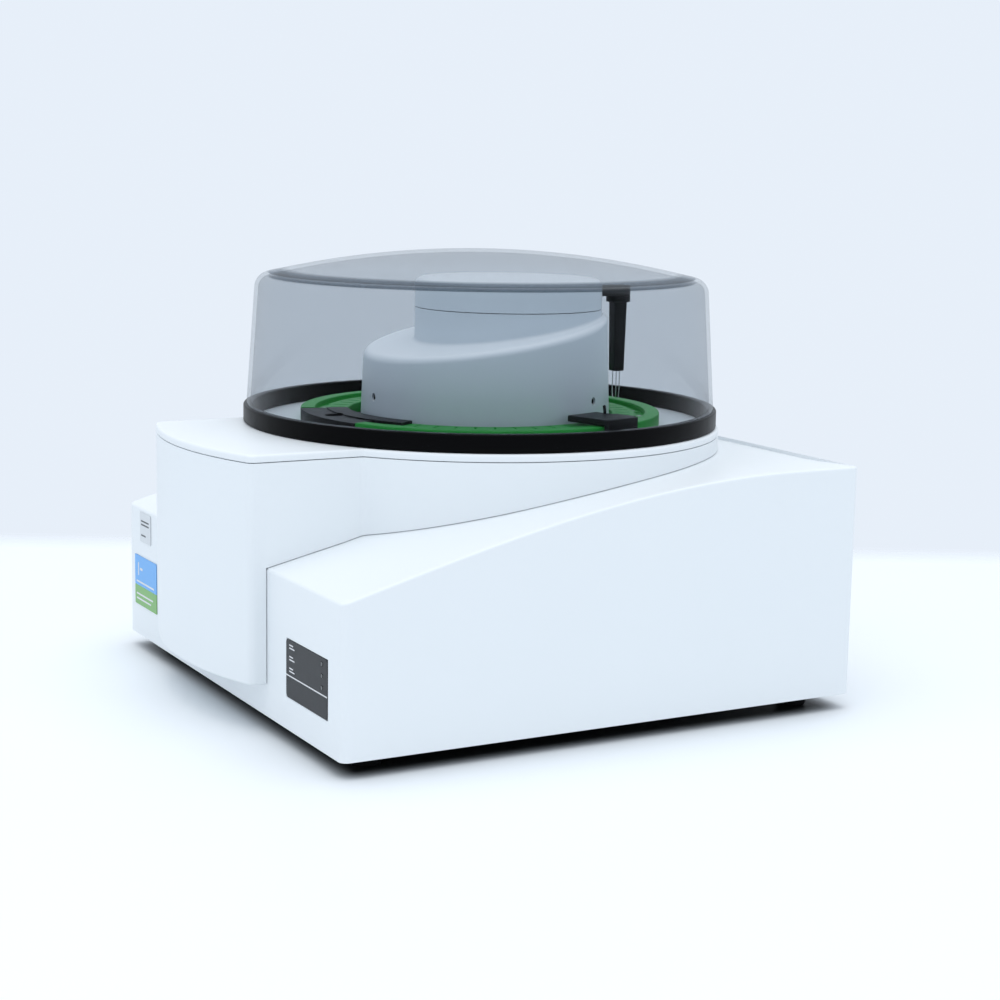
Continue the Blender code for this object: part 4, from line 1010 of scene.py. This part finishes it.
def shade_under_casing(tree, place):
    """The table's colour, which is dark under the casing, where hardly any light reaches it."""
    low, high = (BASE_LOW + AXIS) * MM, (BASE_HIGH + AXIS) * MM
    parts = new_node(tree, "SeparateXYZ", feeds={"Vector": place.outputs["Object"]})
    masks = []
    for axis, number in (("X", 0), ("Y", 1)):
        centre, reach = (low[number] + high[number]) / 2, (high[number] - low[number]) / 2
        shift = calculate(tree, "SUBTRACT", parts.outputs[axis], centre)
        away = calculate(tree, "ABSOLUTE", shift)
        masks.append(ramp(tree, away, reach - 20.0 * MM, reach + 4.0 * MM, 1.0, 0.0, smooth=True))
    return mixed(tree, calculate(tree, "MULTIPLY", *masks), TABLE_WHITE, TABLE_SHADE)


def make_floor():
    """A pale table top whose far edge fades into the wall behind it."""
    shape = bmesh.new()
    bmesh.ops.create_grid(shape, x_segments=1, y_segments=1, size=6.0)
    mesh = bpy.data.meshes.new("table")
    shape.to_mesh(mesh)
    shape.free()
    table = bpy.data.objects.new("table", mesh)
    table.location.z = -0.0002
    bpy.context.scene.collection.objects.link(table)
    material, tree = new_material("table_top")
    shader = tree.nodes["Principled BSDF"]
    shader.inputs["Roughness"].default_value = 0.5
    place = new_node(tree, "TexCoord")
    tree.links.new(shade_under_casing(tree, place), shader.inputs["Base Color"])
    away = Vector((-math.sin(CAMERA_YAW), math.cos(CAMERA_YAW), 0.0))
    across = new_node(tree, "VectorMath", {1: away}, {0: place.outputs["Object"]})
    across.operation = "DOT_PRODUCT"
    start = away.dot(CAMERA_PLACE + AXIS) * MM + TABLE_EDGE * MM
    edge = ramp(tree, across.outputs["Value"], start - 20.0 * MM, start + 60.0 * MM)
    clear = new_node(tree, "BsdfTransparent")
    blend = new_node(tree, "MixShader", feeds={0: edge, 1: shader.outputs[0], 2: clear.outputs[0]})
    tree.links.new(blend.outputs[0], tree.nodes["Material Output"].inputs["Surface"])
    mesh.materials.append(material)


def area_light(name, place, target, size, power, colour):
    data = bpy.data.lights.new(name, "AREA")
    data.shape = "SQUARE"
    data.size = size
    data.energy = power
    data.color = colour
    item = bpy.data.objects.new(name, data)
    item.location = place
    aim = Vector(target) - Vector(place)
    item.rotation_euler = aim.to_track_quat("-Z", "Y").to_euler()
    bpy.context.scene.collection.objects.link(item)


def make_light():
    world = bpy.data.worlds.new("soft_room")
    world.use_nodes = True
    background = world.node_tree.nodes["Background"]
    background.inputs["Color"].default_value = (*WALL_COLOUR, 1.0)
    background.inputs["Strength"].default_value = 1.0
    bpy.context.scene.world = world
    area_light("overhead", (0.2, -0.2, 2.6), (0, 0, 0.1), 2.6, 29.0, (1.0, 0.99, 0.97))
    bpy.context.scene.view_settings.view_transform = "Standard"


def main():
    make_camera()
    make_floor()
    make_light()
    make_casings()
    make_dome()
    make_carousel()
    make_tower()
    make_gripper()
    make_sensor()
    make_front_trim()
    make_feet()
    make_rear()
    finish_cad_nodes()


main()
